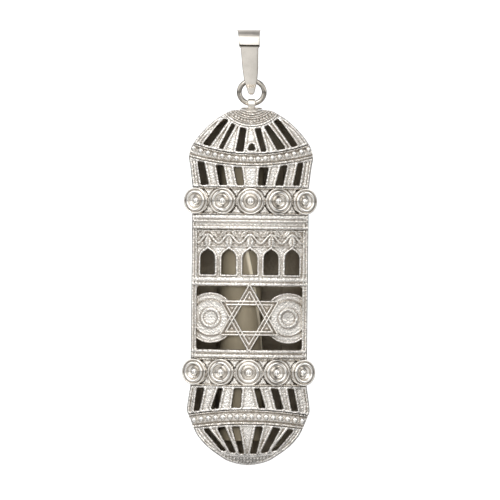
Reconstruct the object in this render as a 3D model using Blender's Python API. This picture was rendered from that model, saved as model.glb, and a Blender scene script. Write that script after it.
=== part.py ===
"""Openwork silver mezuzah pendant: bail, jump ring, pierced case, sliding plate and parchment scroll.

It hangs upright: +Z is up, the front faces -Y, and the origin is where a chain bears inside the bail.
"""

from math import atan, cos, pi, radians, sin, sqrt

import bmesh
import bpy
import numpy as np
from mathutils import Matrix, Vector

MM = 0.001

# Mesh fineness
MERGE_DISTANCE = 0.0005 * MM
CUT_DISTANCE = 0.001 * MM
HALVINGS = 40
RING_STEPS = 28
COLLAR_STEPS = 24
EYE_STEPS = 10
BEAD_STEPS = 4
ROSETTE_STEPS = 18
BALL_STEPS = 12
BALL_RISE_STEPS = 4

# Clearances
SOLDER_GAP = 0.03 * MM
SLIDE_GAP = 0.06 * MM

# Bail: a folded strap whose ends are pinched into a tongue
BAIL_INNER_RADIUS = 1.5 * MM
BAIL_STRAP = 0.4 * MM
BAIL_FOOT_CLEARANCE = 0.25 * MM
BAIL_DROP = 5.72 * MM
BAIL_TONGUE = 1.68 * MM
BAIL_TONGUE_THICKNESS = 0.8 * MM
BAIL_TOP_WIDTH = 2.94 * MM
BAIL_BAND_WIDTH = 2.5 * MM
BAIL_NECK_WIDTH = 1.98 * MM
BAIL_FOOT_WIDTH = 1.54 * MM
BAIL_TIP_WIDTH = 0.7 * MM
BAIL_NECK_DROP = 0.4 * MM
BAIL_WAIST = (0.85, 0.45)
BAIL_PINCH = 1.1
BAIL_TIP_ROUND = 0.6
BAIL_ARC_STEPS = 12
BAIL_FOOT_STEPS = 8
BAIL_LEVELS = 14

# Jump ring: an oval of round wire
RING_WIRE_RADIUS = 0.3 * MM
RING_HALF_WIDTH = 1.5 * MM
RING_HEIGHT = 2.76 * MM

# Eye strap and collar on top of the case
EYE_CLEARANCE = 0.14 * MM
EYE_HANG = 0.042 * MM
EYE_STRAP = 0.2 * MM
EYE_WIDTH = 0.86 * MM
COLLAR_RADIUS = 1.25 * MM
COLLAR_THICKNESS = 0.18 * MM

# Case: overall width, and its stages from the top down
CASE_WIDTH = 13.92 * MM
UPPER_DOME_HEIGHT = 9.33 * MM
BAND_HEIGHT = 3.4 * MM
MOULDING_HEIGHT = 1.7 * MM
ORNAMENT_HEIGHT = 5.7 * MM
CROSSBAR_HEIGHT = 1.1 * MM
STAR_WINDOW_HEIGHT = 7.5 * MM
SILL_HEIGHT = 1.05 * MM
LOWER_DOME_HEIGHT = 9.45 * MM

# Case: depth and walls
ARCH_RADIUS = 13.75 * MM
DOME_FULLNESS = 3.2
DOME_END = 0.985
PANEL = 0.9 * MM
PANEL_RECESS = 0.38 * MM
WALL = 0.7 * MM
RAIL_WIDTH = 0.62 * MM
SLOT_RIM = 0.22 * MM
SIDE_RIM = 0.75 * MM

# Bead wires and their arcs
BEAD_RADIUS = 0.29 * MM
BEAD_WAIST = 0.5
BEAD_COUNT = 17
CAP_RIM_RADIUS = 4.2 * MM
CAP_RIM_DROP = 1.87 * MM
UPPER_BEAD_RADIUS = 19.8 * MM
UPPER_BEAD_DROP = 5.99 * MM
UPPER_BEAD_BAND = (0.62 * MM, 0.86 * MM)
LOWER_BEAD_RADIUS = 39.5 * MM
LOWER_BEAD_DROP = 3.55 * MM
LOWER_BEAD_BAND = (0.85 * MM, 0.98 * MM)
END_CAP_RADIUS = 13.0 * MM
END_CAP_HEIGHT = 1.2 * MM

# Rosettes
ROSETTE_COUNT = 5
ROSETTE_MARGIN = 0.12 * MM
ROSETTE_SPACE = 0.28 * MM
ROSETTE_BASE = 0.2 * MM
ROSETTE_RIM = 0.42 * MM
ROSETTE_RIDGE = 0.66 * MM
ROSETTE_RIDGE_RADIUS = 1.15 * MM
ROSETTE_RIDGE_WIDTH = 0.34 * MM
BALL_RADIUS = 0.48 * MM
BALL_HEIGHT = 0.46 * MM

# Ornament panel
ORNAMENT_ARCHES = 5
ARCH_SHARE = 0.66
ARCH_HEIGHT = 3.0 * MM
ARCH_SHOULDER = ((0.5, 0.0), (0.44, 0.24), (0.28, 0.42), (0.1, 0.53), (0.0, 0.62))
ARCH_SILL = 0.35 * MM

# Star and discs
STAR_BAR = 0.47 * MM
STAR_PROUD = 0.2 * MM
STAR_THICKNESS = 0.45 * MM
DISC_RADIUS = 3.05 * MM
DISC_INSET = 1.68 * MM
DISC_HOLE = 0.6 * MM
DISC_THICKNESS = 0.55 * MM

# Back frame, guides and sliding plate
FRAME_FRONT = 2.1 * MM
FRAME_THICKNESS = 0.57 * MM
PLATE_SIDE_LAP = 0.6 * MM
PLATE_THICKNESS = 0.5 * MM
PLATE_LAP = 0.5 * MM
GUIDE_SIDE = 0.75 * MM
GUIDE_LIP = 0.55 * MM
GUIDE_END = 1.8 * MM
GUIDE_LIP_THICKNESS = 0.4 * MM
GRIP_RADIUS = 0.35 * MM
GRIP_LENGTH = 5.0 * MM
OPENING_TOP_INSET = 3.1 * MM
OPENING_BOTTOM_INSET = 6.65 * MM

# Parchment scroll
SCROLL_RADIUS = 2.75 * MM
SCROLL_OFFSET = -0.95 * MM
SCROLL_TOP_INSET = 2.7 * MM
SCROLL_BOTTOM_INSET = 6.5 * MM
SCROLL_CLEARANCE = 0.1 * MM
SCROLL_SIDE_ROOM = 0.2 * MM
SCROLL_FRONT_ROOM = 0.83 * MM

# Half outline of each dome: (share of half the case width, share of the dome height)
UPPER_OUTLINE = (
    (1.0, 0.0),
    (1.04, 0.25),
    (1.066, 0.37),
    (1.045, 0.47),
    (0.996, 0.55),
    (0.855, 0.69),
    (0.647, 0.84),
    (0.424, 0.95),
    (0.3, 0.985),
    (0.0, 1.0),
)
LOWER_OUTLINE = (
    (1.0, 0.0),
    (1.052, 0.28),
    (1.02, 0.38),
    (0.948, 0.51),
    (0.862, 0.63),
    (0.704, 0.76),
    (0.466, 0.88),
    (0.26, 0.955),
    (0.0, 1.0),
)

# Slots between the ribs: left and right edge at the top, then at the foot, as shares of half the width
UPPER_RIB_SLOTS = (
    (-0.483, -0.397, -0.828, -0.714),
    (-0.328, -0.276, -0.552, -0.491),
    (-0.182, -0.092, -0.259, -0.138),
    (0.062, 0.15, 0.178, 0.261),
    (0.224, 0.285, 0.454, 0.593),
    (0.385, 0.454, 0.707, 0.8),
)
UPPER_SKIRT_SLOTS = (
    (-0.914, -0.81, -0.845, -0.724),
    (-0.598, -0.476, -0.529, -0.414),
    (-0.293, -0.161, -0.23, -0.121),
    (0.147, 0.3, 0.128, 0.247),
    (0.517, 0.621, 0.424, 0.552),
    (0.81, 0.894, 0.731, 0.83),
)
LOWER_SKIRT_SLOTS = (
    (-0.879, -0.766, -0.931, -0.845),
    (-0.517, -0.448, -0.638, -0.517),
    (-0.241, -0.114, -0.286, -0.138),
    (0.103, 0.19, 0.19, 0.293),
    (0.389, 0.5, 0.483, 0.603),
    (0.672, 0.769, 0.751, 0.852),
)
LOWER_RIB_SLOTS = (
    (-0.766, -0.682, -0.448, -0.369),
    (-0.526, -0.402, -0.293, -0.207),
    (-0.276, -0.155, -0.138, -0.069),
    (0.138, 0.249, 0.043, 0.138),
    (0.431, 0.552, 0.224, 0.328),
    (0.69, 0.784, 0.405, 0.483),
)

HALF_WIDTH = CASE_WIDTH / 2
INNER_HALF_WIDTH = HALF_WIDTH - RAIL_WIDTH
BAIL_FOOT_RADIUS = RING_WIRE_RADIUS + BAIL_FOOT_CLEARANCE
BEAD_LAYER = PANEL_RECESS - SOLDER_GAP - BEAD_RADIUS
ROSETTE_RADIUS = BAND_HEIGHT / 2 - ROSETTE_MARGIN
ROSETTE_PITCH = 2 * atan((ROSETTE_RADIUS + ROSETTE_SPACE / 2) / ARCH_RADIUS)
STAR_RADIUS = STAR_WINDOW_HEIGHT / 2 - SOLDER_GAP
DISC_CENTRE = INNER_HALF_WIDTH - DISC_INSET
OPENING_WIDTH = 2 * (SCROLL_RADIUS + SCROLL_SIDE_ROOM - SCROLL_OFFSET)
PLATE_WIDTH = OPENING_WIDTH + 2 * PLATE_SIDE_LAP

# Heights, from the chain's seat down
RING_TOP = -BAIL_DROP
RING_BOTTOM = RING_TOP - RING_HEIGHT
EYE_RADIUS = RING_WIRE_RADIUS + EYE_CLEARANCE
EYE_CENTRE = RING_BOTTOM - EYE_HANG
COLLAR_TOP = EYE_CENTRE - EYE_RADIUS
CASE_TOP = COLLAR_TOP - COLLAR_THICKNESS - SOLDER_GAP
UPPER_BAND_TOP = CASE_TOP - UPPER_DOME_HEIGHT
UPPER_BAND_BOTTOM = UPPER_BAND_TOP - BAND_HEIGHT
ORNAMENT_TOP = UPPER_BAND_BOTTOM - MOULDING_HEIGHT
ORNAMENT_BOTTOM = ORNAMENT_TOP - ORNAMENT_HEIGHT
STAR_TOP = ORNAMENT_BOTTOM - CROSSBAR_HEIGHT
STAR_BOTTOM = STAR_TOP - STAR_WINDOW_HEIGHT
STAR_CENTRE = (STAR_TOP + STAR_BOTTOM) / 2
LOWER_BAND_TOP = STAR_BOTTOM - SILL_HEIGHT
LOWER_BAND_BOTTOM = LOWER_BAND_TOP - BAND_HEIGHT
CASE_BOTTOM = LOWER_BAND_BOTTOM - LOWER_DOME_HEIGHT

# Depths, from front to back
FRAME_BACK = FRAME_FRONT + FRAME_THICKNESS
PLATE_FRONT = FRAME_BACK + SLIDE_GAP
PLATE_BACK = PLATE_FRONT + PLATE_THICKNESS
LIP_FRONT = PLATE_BACK + SLIDE_GAP
LIP_BACK = LIP_FRONT + GUIDE_LIP_THICKNESS
SCROLL_DEPTH = PLATE_FRONT - SCROLL_CLEARANCE - SCROLL_RADIUS
FRONT_DEPTH = SCROLL_RADIUS - SCROLL_DEPTH + SCROLL_FRONT_ROOM + PANEL

SILVER = ("sterling_silver", (0.80, 0.78, 0.75), 0.28, 1.0)
CAST_SILVER = ("cast_silver", (0.70, 0.68, 0.65), 0.42, 1.0)
PARCHMENT = ("parchment", (0.42, 0.38, 0.30), 0.8, 0.0)


def clear_scene():
    for old in list(bpy.data.objects):
        bpy.data.objects.remove(old, do_unlink=True)


def make_collection(name):
    collection = bpy.data.collections.new(name)
    bpy.context.scene.collection.children.link(collection)
    return collection


def finish(name, mesh, look):
    """Make the mesh a named object of the pendant with its own material."""
    label, colour, roughness, metallic = look
    material = bpy.data.materials.new(f"{name}_{label}")
    material.use_nodes = True
    shader = material.node_tree.nodes["Principled BSDF"]
    shader.inputs["Base Color"].default_value = (*colour, 1.0)
    shader.inputs["Roughness"].default_value = roughness
    shader.inputs["Metallic"].default_value = metallic
    mesh.name = name
    mesh.materials.clear()
    mesh.materials.append(material)
    obj = bpy.data.objects.new(name, mesh)
    PENDANT.objects.link(obj)
    return obj


def mesh_from_curve(curve, transform):
    """The curve's closed mesh, with its caps welded on, after the transform."""
    guide = bpy.data.objects.new("guide", curve)
    bpy.context.scene.collection.objects.link(guide)
    graph = bpy.context.evaluated_depsgraph_get()
    mesh = bpy.data.meshes.new_from_object(guide.evaluated_get(graph))
    bpy.data.objects.remove(guide, do_unlink=True)
    bpy.data.curves.remove(curve)
    shape = bmesh.new()
    shape.from_mesh(mesh)
    bmesh.ops.remove_doubles(shape, verts=shape.verts, dist=MERGE_DISTANCE)
    bmesh.ops.transform(shape, matrix=transform, verts=shape.verts)
    bmesh.ops.recalc_face_normals(shape, faces=shape.faces)
    shape.to_mesh(mesh)
    shape.free()
    return mesh


def sheet(loops, thickness, transform):
    """A flat sheet cut to the first loop, with the other loops pierced through it."""
    curve = bpy.data.curves.new("outline", "CURVE")
    curve.dimensions = "2D"
    curve.fill_mode = "BOTH"
    curve.extrude = thickness / 2
    for loop in loops:
        spline = curve.splines.new("POLY")
        spline.points.add(len(loop) - 1)
        for point, (a, b) in zip(spline.points, loop):
            point.co = (a, b, 0, 1)
        spline.use_cyclic_u = True
    return mesh_from_curve(curve, transform)


def upright(middle):
    """Outline in X and Z, its thickness centred on Y = middle."""
    return Matrix.Translation((0, middle, 0)) @ Matrix.Rotation(pi / 2, 4, "X")


SIDEWAYS = Matrix(((0, 0, 1, 0), (1, 0, 0, 0), (0, 1, 0, 0), (0, 0, 0, 1)))


def cut_across(mesh, axis, places):
    """Add an edge line across the mesh at each place along an axis, so that it can bend there."""
    normal = Vector((0, 0, 0))
    normal[axis] = 1
    shape = bmesh.new()
    shape.from_mesh(mesh)
    for place in places:
        geometry = shape.verts[:] + shape.edges[:] + shape.faces[:]
        bmesh.ops.bisect_plane(
            shape, geom=geometry, dist=CUT_DISTANCE, plane_co=normal * place, plane_no=normal
        )
    shape.to_mesh(mesh)
    shape.free()


def bow(x):
    """How far the arched front stands forward of the centre plane at x."""
    return FRONT_DEPTH - ARCH_RADIUS + sqrt(ARCH_RADIUS**2 - x**2)


def dome_share(z):
    """Share of the full depth that the case has at height z: 1 between the bands, less in the domes."""
    above = (z - UPPER_BAND_TOP) / UPPER_DOME_HEIGHT
    below = (LOWER_BAND_BOTTOM - z) / LOWER_DOME_HEIGHT
    rise = DOME_END * min(max(above, below, 0.0), 1.0)
    return (1 - rise**DOME_FULLNESS) ** (1 / DOME_FULLNESS)


def front_y(x, z):
    return -dome_share(z) * bow(x)


def smooth_outline(shares, base, height):
    """Points (half width, z) on a smooth curve through a dome's outline shares."""
    knots = [Vector((w * HALF_WIDTH, base + h * height)) for w, h in shares]
    knots = [2 * knots[0] - knots[1], *knots, Vector((-knots[-2].x, knots[-2].y))]
    points = []
    for a, b, c, d in zip(knots, knots[1:], knots[2:], knots[3:]):
        for t in (0.0, 0.5):
            near = b * 2 + (c - a) * t
            far = (a * 2 - b * 5 + c * 4 - d) * t**2 + (b * 3 - a - c * 3 + d) * t**3
            points.append(0.5 * (near + far))
    return [*points, knots[-2]]


UPPER_SIDE = smooth_outline(UPPER_OUTLINE, UPPER_BAND_TOP, UPPER_DOME_HEIGHT)
LOWER_SIDE = smooth_outline(LOWER_OUTLINE, LOWER_BAND_BOTTOM, -LOWER_DOME_HEIGHT)
SIDE = list(reversed(LOWER_SIDE)) + UPPER_SIDE


def half_width(z):
    """Half the case's width at height z."""
    return float(np.interp(z, [p.y for p in SIDE], [p.x for p in SIDE]))


def side_between(low, high):
    """Outline points of the right side between two heights, from the lower up."""
    inner = [p for p in SIDE if low + SOLDER_GAP < p.y < high - SOLDER_GAP]
    return [(half_width(low), low), *[(p.x, p.y) for p in inner], (half_width(high), high)]


def level(z):
    return lambda x: z


def smile(lowest, radius):
    """An edge that hangs lowest at the middle."""
    return lambda x: lowest + radius - sqrt(max(radius**2 - x**2, 0))


def frown(highest, radius):
    """An edge that stands highest at the middle."""
    return lambda x: highest - radius + sqrt(max(radius**2 - x**2, 0))


def meeting(edge):
    """Where an edge running across the front meets the outline: its x, found by halving."""
    inside, outside = 0.0, 1.5 * HALF_WIDTH
    for _ in range(HALVINGS):
        middle = (inside + outside) / 2
        if half_width(edge(middle)) > middle:
            inside = middle
        else:
            outside = middle
    return inside


def across(edge, start, end, count=12):
    """Points along an edge from x = start to x = end, both included."""
    return [(x, edge(x)) for x in np.linspace(start, end, count + 1)]


def panel_outline(top, bottom):
    """Outline of the front between two edges; None stands for the end of the case."""
    if top is None:
        reach = meeting(bottom)
        side = [(p.x, p.y) for p in SIDE if p.y > bottom(reach) + SOLDER_GAP]
        other = [(-x, z) for x, z in reversed(side[:-1])]
        return across(bottom, -reach, reach) + side + other
    if bottom is None:
        reach = meeting(top)
        side = [(p.x, p.y) for p in SIDE if p.y < top(reach) - SOLDER_GAP]
        other = [(-x, z) for x, z in reversed(side[1:])]
        return across(top, reach, -reach) + other + side
    low, high = meeting(bottom), meeting(top)
    side = side_between(bottom(low), top(high))[1:-1]
    left = [(-x, z) for x, z in reversed(side)]
    return across(bottom, -low, low) + side + across(top, high, -high) + left


def off_the_side(x, z):
    """The point moved towards the case's middle until it is clear of the outline."""
    step = SLOT_RIM / 8 if z < STAR_CENTRE else -SLOT_RIM / 8
    while half_width(z) < abs(x) + SIDE_RIM:
        z += step
    return (x, z)


def slot(edges, top, bottom):
    """A slot whose ends stay one rim's width off the panel's edges."""
    top_left, top_right, foot_left, foot_right = (share * HALF_WIDTH for share in edges)
    return [
        off_the_side(foot_left, bottom(foot_left) + SLOT_RIM),
        off_the_side(foot_right, bottom(foot_right) + SLOT_RIM),
        off_the_side(top_right, top(top_right) - SLOT_RIM),
        off_the_side(top_left, top(top_left) - SLOT_RIM),
    ]


def inset_edge(edge, by):
    return lambda x: edge(x) + by


def drape(mesh, layer, columns=11, rows=0):
    """Bend a flat sheet to the case's front, its own Y kept as the depth behind that surface."""
    xs = [v.co.x for v in mesh.vertices]
    zs = [v.co.z for v in mesh.vertices]
    cut_across(mesh, 0, np.linspace(min(xs), max(xs), columns + 1)[1:-1])
    if rows:
        cut_across(mesh, 2, np.linspace(min(zs), max(zs), rows + 1)[1:-1])
    for vertex in mesh.vertices:
        vertex.co.y += layer + front_y(vertex.co.x, vertex.co.z)
    return mesh


def panel(name, top, bottom, slots, layer=0.0, look=CAST_SILVER, rows=4):
    """A front panel between two edges, from its layer back to the common inner face."""
    upper = inset_edge(top, -SOLDER_GAP / 2) if top else None
    lower = inset_edge(bottom, SOLDER_GAP / 2) if bottom else None
    thickness = PANEL - layer
    loops = [panel_outline(upper, lower), *slots]
    mesh = sheet(loops, thickness, upright(thickness / 2))
    return finish(name, drape(mesh, layer, rows=rows), look)


def box_loop(left, right, low, high):
    return [(left, low), (right, low), (right, high), (left, high)]


def make_bail():
    """The strap as a teardrop loop seen from the side, drawn out along X and tapered down its length."""
    centre = -BAIL_INNER_RADIUS
    outer_radius = BAIL_INNER_RADIUS + BAIL_STRAP
    foot_outer = BAIL_FOOT_RADIUS + BAIL_STRAP
    tip = RING_TOP - BAIL_TONGUE
    half_tongue = BAIL_TONGUE_THICKNESS / 2
    waist, waist_drop = BAIL_WAIST
    over = [pi * i / BAIL_ARC_STEPS for i in range(BAIL_ARC_STEPS + 1)]
    outer = [(outer_radius * cos(a), centre + outer_radius * sin(a)) for a in over]
    pinch = RING_TOP - BAIL_PINCH * foot_outer
    front = [(foot_outer, RING_TOP), (waist * foot_outer, RING_TOP - waist_drop * foot_outer)]
    front += [(half_tongue, pinch), (half_tongue, tip + half_tongue), (BAIL_TIP_ROUND * half_tongue, tip)]
    outer += [(-y, z) for y, z in front] + front[::-1]
    inner = [(BAIL_INNER_RADIUS * cos(a), centre + BAIL_INNER_RADIUS * sin(a)) for a in over]
    under = [pi + pi * i / BAIL_FOOT_STEPS for i in range(BAIL_FOOT_STEPS + 1)]
    inner += [(BAIL_FOOT_RADIUS * cos(a), RING_TOP + BAIL_FOOT_RADIUS * sin(a)) for a in under]
    neck = centre - BAIL_NECK_DROP
    mesh = sheet([outer, inner], MM, SIDEWAYS)
    cut_across(mesh, 2, np.linspace(tip, centre, BAIL_LEVELS)[1:-1])
    cut_across(mesh, 2, (centre, neck))
    heights = (tip, RING_TOP, neck, centre, BAIL_STRAP)
    widths = (BAIL_TIP_WIDTH, BAIL_FOOT_WIDTH, BAIL_NECK_WIDTH, BAIL_BAND_WIDTH, BAIL_TOP_WIDTH)
    for vertex in mesh.vertices:
        vertex.co.x *= np.interp(vertex.co.z, heights, widths) / MM
    finish("bail", mesh, SILVER)


def wire(points, radius, cyclic=False, swell=None):
    """A round wire through the points, its radius multiplied by the swell at each of them."""
    curve = bpy.data.curves.new("wire", "CURVE")
    curve.dimensions = "3D"
    curve.bevel_depth = radius
    curve.bevel_resolution = 2
    curve.use_fill_caps = not cyclic
    spline = curve.splines.new("POLY")
    spline.points.add(len(points) - 1)
    for index, (point, place) in enumerate(zip(spline.points, points)):
        point.co = (*place, 1)
        point.radius = swell[index] if swell else 1.0
    spline.use_cyclic_u = cyclic
    return mesh_from_curve(curve, Matrix.Identity(4))


def make_ring():
    middle = (RING_TOP + RING_BOTTOM) / 2
    turns = [2 * pi * i / RING_STEPS for i in range(RING_STEPS)]
    oval = [(RING_HALF_WIDTH * sin(a), 0, middle + RING_HEIGHT / 2 * cos(a)) for a in turns]
    mesh = wire(oval, RING_WIRE_RADIUS, cyclic=True)
    finish("jump_ring", mesh, SILVER)


def make_eye():
    """An arched strap over the ring's lower wire, standing on a round collar."""
    outer_radius = EYE_RADIUS + EYE_STRAP
    over = [pi * i / EYE_STEPS for i in range(EYE_STEPS + 1)]
    foot = COLLAR_TOP + SOLDER_GAP
    outer = [(outer_radius * cos(a), EYE_CENTRE + outer_radius * sin(a)) for a in over]
    inner = [(EYE_RADIUS * cos(a), EYE_CENTRE + EYE_RADIUS * sin(a)) for a in reversed(over)]
    arch = outer + [(-outer_radius, foot), (-EYE_RADIUS, foot)] + inner
    arch += [(EYE_RADIUS, foot), (outer_radius, foot)]
    finish("case_eye", sheet([arch], EYE_WIDTH, SIDEWAYS), SILVER)
    around = [2 * pi * i / COLLAR_STEPS for i in range(COLLAR_STEPS)]
    disc = [(COLLAR_RADIUS * cos(a), COLLAR_RADIUS * sin(a)) for a in around]
    lift = Matrix.Translation((0, 0, COLLAR_TOP - COLLAR_THICKNESS / 2))
    finish("eye_collar", sheet([disc], COLLAR_THICKNESS, lift), SILVER)


def bead_line(name, edge):
    """A beaded wire lying along an edge of the front."""
    reach = meeting(edge) - BEAD_RADIUS
    count = BEAD_COUNT * BEAD_STEPS
    places = []
    swell = []
    for index in range(count + 1):
        x = -reach + 2 * reach * index / count
        places.append((x, front_y(x, edge(x)) + BEAD_LAYER, edge(x)))
        round_part = abs(sin(pi * index / BEAD_STEPS))
        swell.append(BEAD_WAIST + (1 - BEAD_WAIST) * round_part)
    finish(name, wire(places, BEAD_RADIUS, swell=swell), SILVER)


def make_upper_dome():
    cap_rim = smile(CASE_TOP - CAP_RIM_DROP, CAP_RIM_RADIUS)
    beads = smile(CASE_TOP - UPPER_BEAD_DROP, UPPER_BEAD_RADIUS)
    above, below = UPPER_BEAD_BAND
    bead_top = inset_edge(beads, above)
    bead_foot = inset_edge(beads, -below)
    base = level(UPPER_BAND_TOP)
    panel("upper_dome_cap", None, cap_rim, [], rows=3)
    ribs = [slot(edges, cap_rim, bead_top) for edges in UPPER_RIB_SLOTS]
    panel("upper_dome_ribs", cap_rim, bead_top, ribs, rows=4)
    panel("upper_bead_band", bead_top, bead_foot, [], layer=PANEL_RECESS, rows=0)
    skirt = [slot(edges, bead_foot, base) for edges in UPPER_SKIRT_SLOTS]
    panel("upper_skirt_ribs", bead_foot, base, skirt, rows=0)
    bead_line("upper_bead_wire", beads)


def make_lower_dome():
    beads = frown(LOWER_BAND_BOTTOM - LOWER_BEAD_DROP, LOWER_BEAD_RADIUS)
    above, below = LOWER_BEAD_BAND
    bead_top = inset_edge(beads, above)
    bead_foot = inset_edge(beads, -below)
    cap_rim = smile(CASE_BOTTOM + END_CAP_HEIGHT, END_CAP_RADIUS)
    base = level(LOWER_BAND_BOTTOM)
    skirt = [slot(edges, base, bead_top) for edges in LOWER_SKIRT_SLOTS]
    panel("lower_skirt_ribs", base, bead_top, skirt, rows=0)
    panel("lower_bead_band", bead_top, bead_foot, [], layer=PANEL_RECESS, rows=0)
    ribs = [slot(edges, bead_foot, cap_rim) for edges in LOWER_RIB_SLOTS]
    panel("lower_dome_ribs", bead_foot, cap_rim, ribs, rows=4)
    panel("lower_end_cap", cap_rim, None, [], rows=3)
    bead_line("lower_bead_wire", beads)


def turned(profile, steps):
    """A turned solid about +Z from a profile that starts and ends on the axis, as a mesh."""
    shape = bmesh.new()
    verts = [shape.verts.new((r, 0, h)) for r, h in profile]
    edges = [shape.edges.new(pair) for pair in zip(verts, verts[1:])]
    bmesh.ops.spin(
        shape,
        geom=verts + edges,
        cent=(0, 0, 0),
        axis=(0, 0, 1),
        angle=2 * pi,
        steps=steps,
        use_merge=True,
    )
    bmesh.ops.remove_doubles(shape, verts=shape.verts, dist=MERGE_DISTANCE)
    bmesh.ops.recalc_face_normals(shape, faces=shape.faces)
    mesh = bpy.data.meshes.new("turned")
    shape.to_mesh(mesh)
    shape.free()
    return mesh


def make_rosettes(stage, middle):
    """A row of dished rosettes round the band, each with a ball in its cup."""
    half_ridge = ROSETTE_RIDGE_WIDTH / 2
    cup = [
        (0, ROSETTE_BASE),
        (ROSETTE_RIDGE_RADIUS - half_ridge, ROSETTE_BASE),
        (ROSETTE_RIDGE_RADIUS - half_ridge / 2, ROSETTE_RIDGE),
        (ROSETTE_RIDGE_RADIUS + half_ridge / 2, ROSETTE_RIDGE),
        (ROSETTE_RIDGE_RADIUS + half_ridge, ROSETTE_RIM / 2),
        (ROSETTE_RADIUS - half_ridge, ROSETTE_RIM),
        (ROSETTE_RADIUS, ROSETTE_RIM),
        (ROSETTE_RADIUS, 0),
        (0, 0),
    ]
    rise = [pi / 2 * i / BALL_RISE_STEPS for i in range(BALL_RISE_STEPS + 1)]
    seat = ROSETTE_BASE + SOLDER_GAP
    ball = [(BALL_RADIUS * sin(a), seat + BALL_HEIGHT * cos(a)) for a in rise] + [(0, seat)]
    for index in range(ROSETTE_COUNT):
        angle = ROSETTE_PITCH * (index - (ROSETTE_COUNT - 1) / 2)
        foot = ARCH_RADIUS - PANEL_RECESS * cos(angle) + SOLDER_GAP
        axis_depth = ARCH_RADIUS - FRONT_DEPTH
        place = Matrix.Translation((foot * sin(angle), axis_depth - foot * cos(angle), middle))
        turn = place @ Matrix.Rotation(angle, 4, "Z") @ Matrix.Rotation(pi / 2, 4, "X")
        for kind, profile, steps in (("rosette", cup, ROSETTE_STEPS), ("ball", ball, BALL_STEPS)):
            piece = finish(f"{stage}_{kind}_{index + 1}", turned(profile, steps), SILVER)
            piece.matrix_world = turn


def make_bands():
    for stage, top, bottom in (
        ("upper", UPPER_BAND_TOP, UPPER_BAND_BOTTOM),
        ("lower", LOWER_BAND_TOP, LOWER_BAND_BOTTOM),
    ):
        panel(f"{stage}_rosette_band", level(top), level(bottom), [], layer=PANEL_RECESS, rows=0)
        make_rosettes(stage, (top + bottom) / 2)


def make_window_frame():
    """Rails, mouldings and crossbar round the two windows."""
    inner = INNER_HALF_WIDTH
    upper_window = box_loop(-inner, inner, ORNAMENT_BOTTOM, ORNAMENT_TOP)
    lower_window = box_loop(-inner, inner, STAR_BOTTOM, STAR_TOP)
    top, bottom = level(UPPER_BAND_BOTTOM), level(LOWER_BAND_TOP)
    panel("window_frame", top, bottom, [upper_window, lower_window], rows=0)


def ogee_arch(middle, width):
    """A pointed arch opening: straight sides and two curved shoulders meeting at the top."""
    foot = ORNAMENT_BOTTOM + ARCH_SILL
    top = foot + ARCH_HEIGHT
    spring = top - ARCH_SHOULDER[-1][1] * width
    right = [(middle + w * width, spring + h * width) for w, h in ARCH_SHOULDER]
    left = [(middle - w * width, spring + h * width) for w, h in reversed(ARCH_SHOULDER[:-1])]
    return [(middle + width / 2, foot), *right, *left, (middle - width / 2, foot)]


def make_ornament():
    """Pierced arcade under a solid field for leaf work."""
    inner = INNER_HALF_WIDTH - SOLDER_GAP
    low, high = ORNAMENT_BOTTOM + SOLDER_GAP, ORNAMENT_TOP - SOLDER_GAP
    pitch = 2 * inner / ORNAMENT_ARCHES
    middles = [pitch * (i - (ORNAMENT_ARCHES - 1) / 2) for i in range(ORNAMENT_ARCHES)]
    arches = [ogee_arch(middle, ARCH_SHARE * pitch) for middle in middles]
    layer = PANEL_RECESS / 2
    thickness = PANEL - layer
    mesh = sheet([box_loop(-inner, inner, low, high), *arches], thickness, upright(thickness / 2))
    finish("ornament_panel", drape(mesh, layer), CAST_SILVER)


def make_star():
    """Six-pointed star of two crossed triangles, with its hexagonal middle open."""
    outline = []
    for index in range(12):
        radius = STAR_RADIUS if index % 2 == 0 else STAR_RADIUS / sqrt(3)
        angle = pi / 2 + index * pi / 6
        outline.append((radius * cos(angle), STAR_CENTRE + radius * sin(angle)))
    reach = STAR_RADIUS / sqrt(3) - STAR_BAR / cos(pi / 6)
    corners = [i * pi / 3 for i in range(6)]
    middle = [(reach * cos(a), STAR_CENTRE + reach * sin(a)) for a in corners]
    mesh = sheet([outline, middle], STAR_THICKNESS, upright(STAR_THICKNESS / 2))
    finish("star_of_david", drape(mesh, -STAR_PROUD, columns=6), SILVER)


def make_discs():
    """A stepped disc each side of the star, cut off straight by the rail."""
    limit = INNER_HALF_WIDTH - SOLDER_GAP
    layer = STAR_THICKNESS - STAR_PROUD + SOLDER_GAP
    for name, sign in (("left_disc", -1), ("right_disc", 1)):
        centre = sign * DISC_CENTRE
        cut = np.arccos(min((limit - DISC_CENTRE) / DISC_RADIUS, 1.0))
        start = cut if sign > 0 else pi + cut
        angles = np.linspace(start, start + 2 * pi - 2 * cut, 25)
        outline = [(centre + DISC_RADIUS * cos(a), STAR_CENTRE + DISC_RADIUS * sin(a)) for a in angles]
        round_hole = [2 * pi * i / 12 for i in range(12)]
        hole = [(centre + DISC_HOLE * cos(a), STAR_CENTRE + DISC_HOLE * sin(a)) for a in round_hole]
        mesh = sheet([outline, hole], DISC_THICKNESS, upright(DISC_THICKNESS / 2))
        finish(name, drape(mesh, layer, columns=4), CAST_SILVER)


def whole_outline(inset):
    """The case's outline seen from the front, moved inwards by the inset."""
    right = [(p.x, p.y) for p in SIDE]
    left = [(-x, z) for x, z in reversed(right[1:-1])]
    loop = [Vector(p) for p in right + left]
    moved = []
    for before, point, after in zip([loop[-1], *loop], loop, [*loop[1:], loop[0]]):
        along = (after - before).normalized()
        moved.append((point.x - inset * along.y, point.y + inset * along.x))
    return moved


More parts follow.
